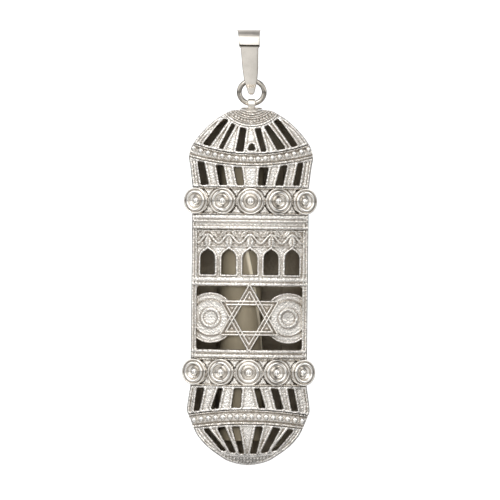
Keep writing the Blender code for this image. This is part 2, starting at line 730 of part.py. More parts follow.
def make_case_shell():
    """The side wall follows the front panels' inner face; the back frame closes it round the opening."""
    back = FRAME_FRONT - SOLDER_GAP
    mesh = sheet([whole_outline(0), whole_outline(WALL)], 1.0 * MM, upright(0))
    for vertex in mesh.vertices:
        if vertex.co.y > 0:
            vertex.co.y = back
        else:
            vertex.co.y = front_y(vertex.co.x, vertex.co.z) + PANEL + SOLDER_GAP
    finish("side_wall", mesh, CAST_SILVER)
    top, bottom = UPPER_BAND_TOP + OPENING_TOP_INSET, LOWER_BAND_BOTTOM - OPENING_BOTTOM_INSET
    opening = box_loop(-OPENING_WIDTH / 2, OPENING_WIDTH / 2, bottom, top)
    middle = FRAME_FRONT + FRAME_THICKNESS / 2
    frame = sheet([whole_outline(0), opening], FRAME_THICKNESS, upright(middle))
    finish("back_frame", frame, CAST_SILVER)


def make_back():
    """Sliding plate, held by a grooved guide each side and stopped by a bar above."""
    top = UPPER_BAND_TOP + OPENING_TOP_INSET + PLATE_LAP
    bottom = LOWER_BAND_BOTTOM - OPENING_BOTTOM_INSET - PLATE_LAP
    half = PLATE_WIDTH / 2
    plate = sheet(
        [box_loop(-half, half, bottom, top)],
        PLATE_THICKNESS,
        upright(PLATE_FRONT + PLATE_THICKNESS / 2),
    )
    finish("back_plate", plate, SILVER)
    inner = half + SLIDE_GAP
    outer = inner + GUIDE_SIDE
    front = FRAME_BACK + SOLDER_GAP
    guide_length = top - bottom - GUIDE_END
    profile = [
        (inner, front),
        (outer, front),
        (outer, LIP_BACK),
        (half - GUIDE_LIP, LIP_BACK),
        (half - GUIDE_LIP, LIP_FRONT),
        (inner, LIP_FRONT),
    ]
    lift = Matrix.Translation((0, 0, top - guide_length / 2))
    for name, sign in (("left_guide", -1), ("right_guide", 1)):
        section = [(sign * x, y) for x, y in profile]
        finish(name, sheet([section], guide_length, lift), SILVER)
    stop_low = top + SLIDE_GAP
    bar = box_loop(-outer, outer, stop_low, stop_low + GUIDE_SIDE)
    depth = LIP_BACK - front
    finish("top_stop", sheet([bar], depth, upright(front + depth / 2)), SILVER)
    arc = [pi * i / 6 for i in range(7)]
    seat = PLATE_BACK + SOLDER_GAP
    grip_z = bottom + 2 * GRIP_RADIUS
    section = [(seat + GRIP_RADIUS * sin(a), grip_z + GRIP_RADIUS * cos(a)) for a in arc]
    finish("plate_grip", sheet([section], GRIP_LENGTH, SIDEWAYS), SILVER)


def make_scroll():
    """Rolled parchment standing in the case, close to the back plate."""
    top = UPPER_BAND_TOP + SCROLL_TOP_INSET
    bottom = LOWER_BAND_BOTTOM - SCROLL_BOTTOM_INSET
    around = [2 * pi * i / 32 for i in range(32)]
    circle = [(SCROLL_RADIUS * cos(a), SCROLL_RADIUS * sin(a)) for a in around]
    lift = Matrix.Translation((SCROLL_OFFSET, SCROLL_DEPTH, (top + bottom) / 2))
    finish("parchment_scroll", sheet([circle], top - bottom, lift), PARCHMENT)


clear_scene()
PENDANT = make_collection("mezuzah_pendant")
make_bail()
make_ring()
make_eye()
make_upper_dome()
make_bands()
make_window_frame()
make_ornament()
make_star()
make_discs()
make_lower_dome()
make_case_shell()
make_back()
make_scroll()
for item in PENDANT.objects:
    item.data.shade_smooth()
    item.data.set_sharp_from_angle(angle=radians(30))
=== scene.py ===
# %% [markdown]
# # A silver mezuzah pendant
# The pendant is a hollow case of cast sterling silver, pierced and beaded, that hangs from a jump ring and a
# folded strap bail. A rolled parchment shows through its openings. The moving frame is loaded first, and every
# finer piece is then built around it, in the same place and at the same size.

# %% Load the frame
from math import asin, cos, pi, radians, sin, sqrt

import bmesh
import bpy
import numpy as np
from mathutils import Matrix, Vector


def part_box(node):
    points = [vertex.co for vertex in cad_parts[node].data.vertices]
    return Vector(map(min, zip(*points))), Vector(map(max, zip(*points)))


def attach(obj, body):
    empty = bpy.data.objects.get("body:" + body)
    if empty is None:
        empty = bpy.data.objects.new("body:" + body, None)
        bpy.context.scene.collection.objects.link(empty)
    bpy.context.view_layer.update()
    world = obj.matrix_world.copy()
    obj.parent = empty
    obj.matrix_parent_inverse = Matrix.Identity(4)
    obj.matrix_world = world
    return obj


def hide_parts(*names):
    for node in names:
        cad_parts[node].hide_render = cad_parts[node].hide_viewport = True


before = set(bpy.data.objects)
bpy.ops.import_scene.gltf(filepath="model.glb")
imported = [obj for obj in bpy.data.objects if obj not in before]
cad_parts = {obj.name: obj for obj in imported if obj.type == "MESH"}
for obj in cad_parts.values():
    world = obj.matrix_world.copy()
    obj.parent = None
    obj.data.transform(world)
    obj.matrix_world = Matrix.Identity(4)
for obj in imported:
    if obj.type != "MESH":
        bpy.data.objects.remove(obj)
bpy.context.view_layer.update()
MM = 0.001


# %% [markdown]
# ## Where things are
# All later shapes are worked out in millimetres from a few heights and widths, read off the frame's own boxes,
# so that a rib ends where its band begins.


# %% Measure the frame
def span(name, axis):
    """Lowest and highest coordinate of a frame node along an axis, in millimetres."""
    low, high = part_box(name)
    return low[axis] / MM, high[axis] / MM


FOOT, CROWN = span("side_wall", 2)
UPPER_BAND = span("upper_rosette_band", 2)
LOWER_BAND = span("lower_rosette_band", 2)
ORNAMENT = span("ornament_panel", 2)
HALF_WIDTH = span("window_frame", 0)[1]
APEX = -span("star_of_david", 1)[0] - 0.2
ARCH_RADIUS = 13.75
PANEL = 0.9
RECESS = 0.38
GAP = 0.03
print(f"case from {CROWN:.2f} to {FOOT:.2f} mm, half width {HALF_WIDTH:.2f} mm, front at {APEX:.2f} mm")

# %% [markdown]
# ## The outline and the arched front
# Seen from the front the case has straight sides and a swelling dome at each end. Each dome's half outline is
# a short list of shares of the half width and of the dome's height, joined by a smooth curve. Seen from above
# the front is an arc, and it rolls back towards both ends.

# %% Outline and front surface
UPPER_OUTLINE = (
    (1.0, 0.0), (1.04, 0.25), (1.066, 0.37), (1.045, 0.47), (0.996, 0.55),
    (0.855, 0.69), (0.647, 0.84), (0.424, 0.95), (0.3, 0.985), (0.0, 1.0),
)
LOWER_OUTLINE = (
    (1.0, 0.0), (1.052, 0.28), (1.02, 0.38), (0.948, 0.51), (0.862, 0.63),
    (0.704, 0.76), (0.488, 0.88), (0.305, 0.955), (0.0, 1.0),
)
UPPER_DOME = CROWN - UPPER_BAND[1]
LOWER_DOME = LOWER_BAND[0] - FOOT
DOME_FULLNESS = 3.2
DOME_END = 0.985


def smooth_side(shares, base, height, steps=8):
    """Points (half width, z) on a smooth curve through a dome's outline shares."""
    knots = [Vector((w * HALF_WIDTH, base + h * height)) for w, h in shares]
    knots = [2 * knots[0] - knots[1], *knots, Vector((-knots[-2].x, knots[-2].y))]
    points = []
    for a, b, c, d in zip(knots, knots[1:], knots[2:], knots[3:]):
        for t in np.arange(steps) / steps:
            near = b * 2 + (c - a) * t
            far = (a * 2 - b * 5 + c * 4 - d) * t**2 + (b * 3 - a - c * 3 + d) * t**3
            points.append(0.5 * (near + far))
    return [*points, knots[-2]]


UPPER_SIDE = smooth_side(UPPER_OUTLINE, UPPER_BAND[1], UPPER_DOME)
LOWER_SIDE = smooth_side(LOWER_OUTLINE, LOWER_BAND[0], -LOWER_DOME)
SIDE = np.array([tuple(p) for p in [*reversed(LOWER_SIDE), *UPPER_SIDE]])


def half_width(z):
    return np.interp(z, SIDE[:, 1], SIDE[:, 0])


def front(x, z):
    """Y of the case's front surface, in millimetres: an arc across, rolled back at both ends."""
    above = (z - UPPER_BAND[1]) / UPPER_DOME
    below = (LOWER_BAND[0] - z) / LOWER_DOME
    rise = DOME_END * np.clip(np.maximum(above, below), 0, 1)
    share = (1 - rise**DOME_FULLNESS) ** (1 / DOME_FULLNESS)
    arc = np.sqrt(np.maximum(ARCH_RADIUS**2 - np.square(x), 1.0))
    return -share * (APEX - ARCH_RADIUS + arc)


print(f"outline of {len(SIDE)} points, widest {SIDE[:, 0].max():.2f} mm from the middle")

# %% [markdown]
# ## Distances instead of drawings
# A cast relief is easiest to describe by distance: how far a point is inside a slot, a band or a star. A lip
# round a slot is then a bump at a fixed distance from it, and a rounded edge is a fall in height near zero.
# Every function here takes arrays of x and z and gives millimetres, positive on the inside.


# %% Distance functions
def circle(x, z, centre, radius):
    return radius - np.hypot(x - centre[0], z - centre[1])


def polygon(x, z, corners):
    """Distance to a closed outline, positive inside it."""
    nearest = np.full(np.shape(x), 1e9)
    inside = np.zeros(np.shape(x), bool)
    for (ax, az), (bx, bz) in zip(corners, [*corners[1:], corners[0]]):
        ex, ez = bx - ax, bz - az
        t = np.clip(((x - ax) * ex + (z - az) * ez) / (ex * ex + ez * ez), 0, 1)
        nearest = np.minimum(nearest, np.hypot(x - ax - t * ex, z - az - t * ez))
        crosses = (az > z) != (bz > z)
        inside ^= crosses & (x < ax + (z - az) * ex / (ez if abs(ez) > 1e-9 else 1e-9))
    return np.where(inside, nearest, -nearest)


def shrink(corners, by):
    """The outline's corners moved inwards, so that growing it back by the same amount rounds them."""
    points = [Vector(c) for c in corners]
    area = sum(a.cross(b) for a, b in zip(points, [*points[1:], points[0]]))
    turn = 1 if area > 0 else -1
    moved = []
    for before, point, after in zip([points[-1], *points], points, [*points[1:], points[0]]):
        first, second = (point - before).normalized(), (after - point).normalized()
        a, b = Vector((-first.y, first.x)) * turn, Vector((-second.y, second.x)) * turn
        moved.append(point + (a + b) * by / max(1 + a.dot(b), 0.3))
    return moved


def box_corners(left, right, low, high):
    return [(left, low), (right, low), (right, high), (left, high)]


# %% Edges as distances
def smile(lowest, radius):
    """Distance below an edge that hangs lowest at the middle."""
    return lambda x, z: np.hypot(x, z - lowest - radius) - radius


def frown(highest, radius):
    """Distance below an edge that stands highest at the middle."""
    return lambda x, z: radius - np.hypot(x, z - highest + radius)


def level(height):
    return lambda x, z: height - z


def side_distance(x, z):
    """Distance inside the case's outline."""
    slope = (half_width(z + 0.05) - half_width(z - 0.05)) / 0.1
    return (half_width(z) - np.abs(x)) / np.sqrt(1 + np.square(slope))


def bump(distance, width):
    """A round ridge: 1 at distance 0, falling to 0 at half the width."""
    return np.sqrt(np.clip(1 - np.square(2 * distance / width), 0, 1))


def soft_edge(distance, radius):
    """How far a surface drops near its edge, so that the edge is round."""
    near = np.clip(1 - distance / radius, 0, 1)
    return radius * (1 - np.sqrt(1 - near * near))


def noise(x, z, size):
    """Smooth unevenness between -1 and 1, its waves about one size across."""
    a = np.sin(x * 5.1 / size + 1.7 * np.sin(z * 3.3 / size))
    b = np.sin(z * 4.7 / size + 1.3 * np.sin(x * 2.9 / size + 0.8))
    return 0.5 * (a + b)


print("distance functions ready")

# %% [markdown]
# ## From distances to metal
# A relief starts as a fine flat grid. Points outside the shape are cut away and the rim points are pulled onto
# the outline, which leaves clean slots. The grid is then extruded to a closed plate, and its front follows the
# arched case and the height of the ornament. Two attributes record how deep or how proud each point sits: the
# depth darkens the colour, partly as patina and partly as painted shade, and the height sets the polish.

# %% Relief builder
CELL = 0.075
COVE = 0.24


def object_from(name, shape, material, body, *nodes, sharp=42):
    """Finish a bmesh as a smooth named piece that rides on a body and stands for the frame's nodes."""
    mesh = bpy.data.meshes.new(name)
    shape.to_mesh(mesh)
    shape.free()
    mesh.materials.append(material)
    mesh.shade_smooth()
    mesh.set_sharp_from_angle(angle=radians(sharp))
    piece = bpy.data.objects.new(name, mesh)
    bpy.context.scene.collection.objects.link(piece)
    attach(piece, body)
    if nodes:
        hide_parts(*nodes)
    return piece


def write_patina_shade_and_polish(piece, height):
    """Store for each point how far it lies below (recess) or above (wear) what is round it."""
    places = np.array([v.co for v in piece.data.vertices]) / MM
    x, z = places[:, 0], places[:, 2]
    here = height(x, z)
    ring = [height(x + COVE * cos(a), z + COVE * sin(a)) for a in np.arange(8) * pi / 4]
    around = np.mean(ring, axis=0)
    # The recess darkens the colour in hollows, partly as patina and partly as painted shade; the wear only lowers the
    # roughness.
    for name, value in (("recess", around - here), ("wear", here - around)):
        layer = piece.data.attributes.new(name, "FLOAT", "POINT")
        layer.data.foreach_set("value", np.clip(value / 0.16, 0, 1).astype(np.float32))


# %% Relief from a flat grid
def relief(name, box, inside, height, material, *nodes, layer=0.0, back=PANEL, cell=CELL):
    """A closed plate over the box (x0, x1, z0, z1), cut to where inside is positive, raised by height."""
    x0, x1, z0, z1 = box
    shape = bmesh.new()
    columns, rows = int((x1 - x0) / cell) + 1, int((z1 - z0) / cell) + 1
    bmesh.ops.create_grid(shape, x_segments=columns, y_segments=rows, size=0.5)
    flat = np.array([v.co for v in shape.verts])
    x, z = x0 + (flat[:, 0] + 0.5) * (x1 - x0), z0 + (flat[:, 1] + 0.5) * (z1 - z0)
    distance = inside(x, z)
    step = 0.2 * cell
    slope_x = (inside(x + step, z) - inside(x - step, z)) / (2 * step)
    slope_z = (inside(x, z + step) - inside(x, z - step)) / (2 * step)
    steep = np.maximum(slope_x**2 + slope_z**2, 0.25)
    pull = np.where(np.abs(distance) < 0.72 * cell, distance / steep, 0)
    x, z = x - pull * slope_x, z - pull * slope_z
    for vert, vx, vz in zip(shape.verts, x, z):
        vert.co = (vx * MM, 0, vz * MM)
    lost = [v for v, d in zip(shape.verts, distance) if d < -0.72 * cell]
    bmesh.ops.delete(shape, geom=lost, context="VERTS")
    bmesh.ops.remove_doubles(shape, verts=shape.verts, dist=0.2 * cell * MM)
    loose = [v for v in shape.verts if not v.link_faces]
    bmesh.ops.delete(shape, geom=loose, context="VERTS")
    raised = bmesh.ops.extrude_face_region(shape, geom=shape.faces[:], use_keep_orig=True)
    top = {v for v in raised["geom"] if isinstance(v, bmesh.types.BMVert)}
    verts = list(shape.verts)
    places = np.array([v.co for v in verts]) / MM
    surface = front(places[:, 0], places[:, 2])
    proud = surface + layer - height(places[:, 0], places[:, 2])
    for vert, behind, ahead in zip(verts, surface + back, proud):
        vert.co.y = (ahead if vert in top else behind) * MM
    bmesh.ops.recalc_face_normals(shape, faces=shape.faces)
    piece = object_from(name, shape, material, "case", *nodes)
    write_patina_shade_and_polish(piece, height)
    print(f"{name}: {len(piece.data.polygons)} faces")
    return piece


print("relief builder ready, cell", CELL, "mm")

# %% [markdown]
# ## One helper for materials
# Colours are written as the sRGB hex values a designer would pick and turned to the linear values that the
# shader needs. One small function adds a node, sets it and links it.


# %% Material helpers
def linear(code):
    """sRGB hex code to a linear colour with alpha."""
    parts = [int(code[i : i + 2], 16) / 255 for i in (1, 3, 5)]
    return [p / 12.92 if p <= 0.04045 else ((p + 0.055) / 1.055) ** 2.4 for p in parts] + [1.0]


def node(tree, kind, inputs=None, **settings):
    """Add a node; an input is given a value or linked from another node's output."""
    new = tree.nodes.new(kind)
    for key, value in settings.items():
        setattr(new, key, value)
    for key, value in (inputs or {}).items():
        if isinstance(value, bpy.types.NodeSocket):
            tree.links.new(value, new.inputs[key])
        else:
            new.inputs[key].default_value = value
    return new


def new_material(name):
    material = bpy.data.materials.new(name)
    material.use_nodes = True
    tree = material.node_tree
    shader = tree.nodes["Principled BSDF"]
    place = node(tree, "ShaderNodeTexCoord").outputs["Object"]
    return material, tree, shader, place


def per_metre(size_mm):
    """Texture scale that makes a pattern repeat about every size_mm."""
    return 1 / (size_mm * MM)


# %% [markdown]
# ## Silver, cast and polished
# Sterling silver is a pale, slightly warm metal. As cast it keeps the fine sandy skin of the investment mould;
# the tops of ridges are rubbed bright by polishing, and the hollows are painted grey, partly as patina and
# partly as painted shade. One function makes each silver finish from its roughness, its grain and that darkening.


# %% Silver finishes
def silver(name, clean, shade_and_patina_colour, rough, bright_rough, grain_mm, grain_depth, shade_and_patina=1.0):
    material, tree, shader, place = new_material(name)
    recess = node(tree, "ShaderNodeAttribute", attribute_name="recess").outputs["Fac"]
    wear = node(tree, "ShaderNodeAttribute", attribute_name="wear").outputs["Fac"]
    cloud = node(tree, "ShaderNodeTexNoise", {"Vector": place, "Scale": per_metre(2.4), "Detail": 3.0})
    grain = node(
        tree, "ShaderNodeTexNoise", {"Vector": place, "Scale": per_metre(grain_mm), "Detail": 2.0, "Roughness": 0.6}
    )
    pits = node(tree, "ShaderNodeTexVoronoi", {"Vector": place, "Scale": per_metre(grain_mm * 1.6)})
    blotch = node(
        tree, "ShaderNodeMapRange",
        {"Value": cloud.outputs["Fac"], "From Min": 0.35, "From Max": 0.75, "To Min": 0.0, "To Max": 0.22},
    )
    # Darker by the recess, partly as patina and partly as painted shade; the cloud adds random tone on top
    depth = node(tree, "ShaderNodeMath", {0: recess, 1: shade_and_patina}, operation="MULTIPLY")
    dark = node(
        tree, "ShaderNodeMath", {0: depth.outputs[0], 1: blotch.outputs[0]}, operation="ADD", use_clamp=True
    )
    colour = node(
        tree, "ShaderNodeMix",
        {"Factor": dark.outputs[0], "A": linear(clean), "B": linear(shade_and_patina_colour)}, data_type="RGBA",
    )
    polish = node(
        tree, "ShaderNodeMapRange",
        {"Value": wear, "From Min": 0.0, "From Max": 0.7, "To Min": rough, "To Max": bright_rough},
    )
    patchy = node(tree, "ShaderNodeMath", {0: grain.outputs["Fac"], 1: 0.6, 2: 0.7}, operation="MULTIPLY_ADD")
    uneven = node(tree, "ShaderNodeMath", {0: patchy.outputs[0], 1: polish.outputs[0]}, operation="MULTIPLY")
    mixed = node(
        tree, "ShaderNodeMath", {0: grain.outputs["Fac"], 1: pits.outputs["Distance"]}, operation="ADD"
    )
    skin = node(
        tree, "ShaderNodeBump",
        {"Height": mixed.outputs[0], "Strength": 1.0, "Distance": grain_depth * MM},
    )
    tree.links.new(colour.outputs["Result"], shader.inputs["Base Color"])
    tree.links.new(uneven.outputs[0], shader.inputs["Roughness"])
    tree.links.new(skin.outputs["Normal"], shader.inputs["Normal"])
    shader.inputs["Metallic"].default_value = 1.0
    return material


# Investment cast sterling, straight from the mould and lightly brushed
CAST = silver("cast_sterling_silver", "#f3efe9", "#a79e92", 0.25, 0.1, 0.14, 0.06)
# Sterling buffed bright, as on the rosettes
POLISHED = silver("polished_sterling_silver", "#f4f0ea", "#9b9388", 0.13, 0.1, 0.3, 0.002)
# Strap silver, bright but a shade greyer than buffed work as painted shade, with a dark colour for the painted shadows
# in its folds and along its edges
STRAP_IN_PAINTED_SHADE = silver("strap_silver_painted_shade", "#dbd5cc", "#4a443c", 0.1, 0.08, 0.3, 0.002)
# Wire silver, a greyer copy of buffed silver as painted shade on the ring, so it is the greyest of the bright finishes
WIRE_IN_PAINTED_SHADE = silver("wire_silver_painted_shade", "#b9b3aa", "#6b645a", 0.12, 0.08, 0.3, 0.002)
# Small beads are rubbed with a burnisher, which leaves a broad soft highlight
BURNISHED = silver("burnished_bead_silver", "#f6f3ee", "#9b9388", 0.2, 0.16, 0.3, 0.002)
# Sterling sheet brushed to a satin
SATIN = silver("satin_sterling_silver", "#f3efe9", "#a79e92", 0.2, 0.1, 0.14, 0.025)
# The inside of the case, never polished and dulled by sulphide
OXIDISED = silver("oxidised_inner_silver", "#b5aa98", "#6e6455", 0.6, 0.5, 0.25, 0.02)
print("silver finishes:", [m.name for m in (CAST, POLISHED, STRAP_IN_PAINTED_SHADE, WIRE_IN_PAINTED_SHADE, BURNISHED, SATIN, OXIDISED)])

# %% [markdown]
# ## Parchment
# Parchment is scraped skin: warm, uneven in tone, matt, with faint fibres along the roll.

# %% Parchment material
PARCHMENT, tree, shader, place = new_material("rolled_parchment")
stretched = node(tree, "ShaderNodeMapping", {"Vector": place, "Scale": (1, 1, 0.12)})
fibres = node(
    tree, "ShaderNodeTexNoise", {"Vector": stretched.outputs[0], "Scale": per_metre(0.3), "Detail": 5.0}
)
mottle = node(tree, "ShaderNodeTexNoise", {"Vector": place, "Scale": per_metre(3.0), "Detail": 4.0})
tone = node(
    tree, "ShaderNodeMix",
    {"Factor": mottle.outputs["Fac"], "A": linear("#b5a990"), "B": linear("#857a66")}, data_type="RGBA",
)
streak = node(
    tree, "ShaderNodeMix",
    {"Factor": fibres.outputs["Fac"], "A": linear("#978c77"), "B": tone.outputs["Result"]}, data_type="RGBA",
)
# The free edge of the sheet is painted pale cream: a painted highlight along that edge
painted_edge_highlight = node(tree, "ShaderNodeAttribute", attribute_name="painted_edge_highlight").outputs["Fac"]
pale = node(
    tree, "ShaderNodeMix",
    {"Factor": painted_edge_highlight, "A": streak.outputs["Result"], "B": linear("#f3e8d0")}, data_type="RGBA",
)
surface = node(
    tree, "ShaderNodeBump", {"Height": fibres.outputs["Fac"], "Strength": 0.6, "Distance": 0.02 * MM}
)
tree.links.new(pale.outputs["Result"], shader.inputs["Base Color"])
tree.links.new(surface.outputs["Normal"], shader.inputs["Normal"])
shader.inputs["Roughness"].default_value = 0.62
print("parchment ready")

# %% [markdown]
# ## Slots between the ribs
# Each dome is a cage: ribs fan out from the end cap to the bands, with a wire lip along both sides of every
# slot. A slot is given by its left and right edge at the top and at the foot, as shares of half the width.

# %% Slot tables
UPPER_RIB_SLOTS = (
    (-0.483, -0.397, -0.828, -0.714), (-0.328, -0.276, -0.552, -0.491), (-0.182, -0.092, -0.259, -0.138),
    (0.062, 0.15, 0.178, 0.261), (0.224, 0.285, 0.454, 0.593), (0.385, 0.454, 0.707, 0.8),
)
UPPER_SKIRT_SLOTS = (
    (-0.914, -0.81, -0.845, -0.724), (-0.598, -0.476, -0.529, -0.414), (-0.293, -0.161, -0.23, -0.121),
    (0.147, 0.3, 0.128, 0.247), (0.517, 0.621, 0.424, 0.552), (0.81, 0.894, 0.731, 0.83),
)
LOWER_SKIRT_SLOTS = (
    (-0.879, -0.766, -0.931, -0.845), (-0.517, -0.448, -0.638, -0.517), (-0.241, -0.114, -0.286, -0.138),
    (0.103, 0.19, 0.19, 0.293), (0.389, 0.5, 0.483, 0.603), (0.672, 0.769, 0.751, 0.852),
)
LOWER_RIB_SLOTS = (
    (-0.766, -0.682, -0.448, -0.369), (-0.526, -0.402, -0.293, -0.207), (-0.276, -0.155, -0.138, -0.069),
    (0.138, 0.249, 0.043, 0.138), (0.431, 0.552, 0.224, 0.328), (0.69, 0.784, 0.405, 0.483),
)
SLOT_RIM = 0.22
SIDE_RIM = 0.75
SLOT_ROUND = 0.14
LIP_WIDTH = 0.34
LIP_HEIGHT = 0.2


def edge_height(edge, x):
    """Z of an edge at x, found by halving between the case's ends."""
    low, high = FOOT - 20.0, CROWN + 20.0
    for _ in range(40):
        middle = (low + high) / 2
        low, high = (low, middle) if edge(x, middle) < 0 else (middle, high)
    return (low + high) / 2


def kept_inside(x, z):
    """The point moved towards the case's middle until it is clear of the outline."""
    step = 0.03 if z < (CROWN + FOOT) / 2 else -0.03
    while half_width(z) < abs(x) + SIDE_RIM:
        z += step
    return (x, z)


def slot_corners(shares, top, foot):
    top_left, top_right, foot_left, foot_right = (share * HALF_WIDTH for share in shares)
    return [
        kept_inside(foot_left, edge_height(foot, foot_left) + SLOT_RIM),
        kept_inside(foot_right, edge_height(foot, foot_right) + SLOT_RIM),
        kept_inside(top_right, edge_height(top, top_right) - SLOT_RIM),
        kept_inside(top_left, edge_height(top, top_left) - SLOT_RIM),
    ]


print("slots:", sum(map(len, (UPPER_RIB_SLOTS, UPPER_SKIRT_SLOTS, LOWER_SKIRT_SLOTS, LOWER_RIB_SLOTS))))

# %% [markdown]
# ## Ribbed cages
# All four cages share one recipe. The plate is what lies between two edges and inside the outline, less the
# slots. Its height is a lip round each slot, a thin wire along the silhouette and a low grain between.


# %% Cage builder
def between(top, foot):
    """Distance inside the strip between two edges and the case's outline."""
    return lambda x, z: np.minimum(np.minimum(top(x, z), -foot(x, z)) - GAP / 2, side_distance(x, z))


def cage(name, box, top, foot, slots, *nodes, extra=()):
    outlines = [shrink(slot_corners(shares, top, foot), SLOT_ROUND) for shares in slots]
    outlines += [shrink(corners, SLOT_ROUND) for corners in extra]
    region = between(top, foot)

    def slot_distance(x, z):
        return np.max([polygon(x, z, outline) for outline in outlines], axis=0) + SLOT_ROUND

    def inside(x, z):
        return np.minimum(region(x, z), -slot_distance(x, z))

    def height(x, z):
        off_slot = -slot_distance(x, z)
        off_side = side_distance(x, z)
        lip = LIP_HEIGHT * bump(off_slot - LIP_WIDTH / 2, LIP_WIDTH)
        wire = 0.16 * bump(off_side - 0.16, 0.3) + 0.1 * bump(off_side - 0.5, 0.26)
        rim = 0.12 * bump(region(x, z) - 0.08, 0.3)
        flat = 0.012 * noise(x, z, 0.5)
        return np.maximum(np.maximum(lip, wire), rim) + flat - soft_edge(off_side, 0.12)

    return relief(name, box, inside, height, CAST, *nodes)


# %% [markdown]
# ## Upper dome
# Under the collar a cap of concentric ridges fans down, then the ribs, then a row of beads that hangs like a
# garland, then a second row of shorter ribs down to the rosettes.

# %% Edges of the upper dome
CAP_DROP, CAP_ARC = 2.2, 4.2
CAP_CENTRE = CROWN - CAP_DROP + CAP_ARC
CAP_RIM = smile(CROWN - CAP_DROP, CAP_ARC)
BEAD_DROP = 5.99
BEAD_ARC = 19.8
UPPER_BEAD_TOP = smile(CROWN - BEAD_DROP + 0.62, BEAD_ARC)
UPPER_BEAD_FOOT = smile(CROWN - BEAD_DROP - 0.86, 27.0)
UPPER_BASE = level(UPPER_BAND[1])
WIDEST = SIDE[:, 0].max() + 0.1

LOW_ARCH_SHAPE = ((-0.36, 4.98), (0.5, 4.98), (0.32, 4.35), (0.07, 4.2), (-0.18, 4.35))
LOW_ARCH = [(x, CROWN - drop) for x, drop in LOW_ARCH_SHAPE]
cage(
    "upper_rib_cage", (-WIDEST, WIDEST, CROWN - 5.8, CROWN), CAP_RIM, UPPER_BEAD_TOP, UPPER_RIB_SLOTS,
    "upper_dome_ribs", extra=[LOW_ARCH],
)
cage(
    "upper_skirt_cage", (-WIDEST, WIDEST, UPPER_BAND[1] - 0.1, CROWN - 4.5), UPPER_BEAD_FOOT, UPPER_BASE,
    UPPER_SKIRT_SLOTS, "upper_skirt_ribs",
)

# %% [markdown]
# The cap's ridges are rings round one centre above it, so they hang as smiles. One of them is a row of tiny
# beads, made by letting its height rise and fall with the angle.

# %% Cap of the upper dome
CAP_RIDGES = (
    (4.02, 0.34, 0.26), (3.74, 0.16, 0.14), (3.16, 0.18, 0.2), (2.92, 0.18, 0.2), (2.62, 0.22, 0.18), (2.3, 0.3, 0.22),
)
TINY_BEADS = (3.45, 0.36, 0.26, 0.115)


def cap_height(x, z):
    reach = np.hypot(x, z - CAP_CENTRE)
    angle = np.arctan2(x, CAP_CENTRE - z)
    total = np.zeros(np.shape(x))
    for radius, width, tall in CAP_RIDGES:
        total = np.maximum(total, tall * bump(reach - radius, width))
    radius, width, tall, pitch = TINY_BEADS
    swell = np.abs(np.cos(angle / pitch * pi))
    total = np.maximum(total, tall * swell * bump(reach - radius, width))
    return total - soft_edge(side_distance(x, z), 0.12)


def cap_inside(x, z):
    return np.minimum(-CAP_RIM(x, z) - GAP / 2, side_distance(x, z))


relief(
    "upper_cap_ridges", (-4.2, 4.2, CROWN - 2.4, CROWN + 0.05), cap_inside, cap_height, CAST,
    "upper_dome_cap", cell=0.05,
)


# %% [markdown]
# ## Beaded bands
# Each dome carries a band of round beads between two ridges. The strip with its ridges is a relief; the beads
# are low spheres set along it, each with only a few dozen faces because there are many.


# %% Band builder
def band(name, box, top, foot, node_name):
    region = between(top, foot)

    def height(x, z):
        upper = bump(top(x, z) - 0.17, 0.3)
        lower = bump(-foot(x, z) - 0.2, 0.38)
        return RECESS * np.maximum(0.9 * upper, 1.1 * lower) + 0.01 * noise(x, z, 0.4)

    relief(name, box, region, height, CAST, node_name, layer=RECESS)


def add_bead(shape, x, z, radius, lift):
    """A small sphere whose middle lies at the front surface, moved back by the lift."""
    place = Matrix.Translation((x * MM, (front(x, z) + lift) * MM, z * MM))
    bmesh.ops.create_uvsphere(shape, u_segments=14, v_segments=9, radius=radius * MM, matrix=place)


def beads(name, arc, count, reach, radius, node_name):
    """A row of beads at even steps along an arc, x from -reach to reach."""
    shape = bmesh.new()
    for x in np.linspace(-reach, reach, count):
        add_bead(shape, x, edge_height(arc, x), radius, -0.08)
    object_from(name, shape, BURNISHED, "case", node_name)
    print(f"{name}: {count} beads")


band(
    "upper_bead_strip", (-WIDEST, WIDEST, CROWN - 7.1, CROWN - 3.6), UPPER_BEAD_TOP, UPPER_BEAD_FOOT,
    "upper_bead_band",
)
UPPER_BEAD_LINE = smile(CROWN - BEAD_DROP - 0.02, BEAD_ARC)
beads("upper_beads", UPPER_BEAD_LINE, 17, 6.85, 0.35, "upper_bead_wire")

# %% [markdown]
# ## Lower dome
# The lower dome repeats the upper one upside down: its bead row bows upwards, and the ribs run together into a
# small grainy end cap.

# %% Lower dome
LOWER_ARC = 39.5
LOWER_DROP = 3.55
LOWER_BASE = level(LOWER_BAND[0])
LOWER_BEAD_TOP = frown(LOWER_BAND[0] - LOWER_DROP + 0.85, LOWER_ARC)
LOWER_BEAD_FOOT = frown(LOWER_BAND[0] - LOWER_DROP - 0.98, LOWER_ARC)
END_RIM = smile(FOOT + 1.2, 13.0)
cage(
    "lower_skirt_cage", (-WIDEST, WIDEST, LOWER_BAND[0] - 3.6, LOWER_BAND[0] + 0.1), LOWER_BASE, LOWER_BEAD_TOP,
    LOWER_SKIRT_SLOTS, "lower_skirt_ribs",
)
cage(
    "lower_rib_cage", (-WIDEST, WIDEST, FOOT, LOWER_BAND[0] - 4.3), LOWER_BEAD_FOOT, END_RIM, LOWER_RIB_SLOTS,
    "lower_dome_ribs",
)
band(
    "lower_bead_strip", (-WIDEST, WIDEST, LOWER_BAND[0] - 5.4, LOWER_BAND[0] - 2.5), LOWER_BEAD_TOP,
    LOWER_BEAD_FOOT, "lower_bead_band",
)
beads("lower_beads", frown(LOWER_BAND[0] - LOWER_DROP, LOWER_ARC), 16, 6.45, 0.38, "lower_bead_wire")


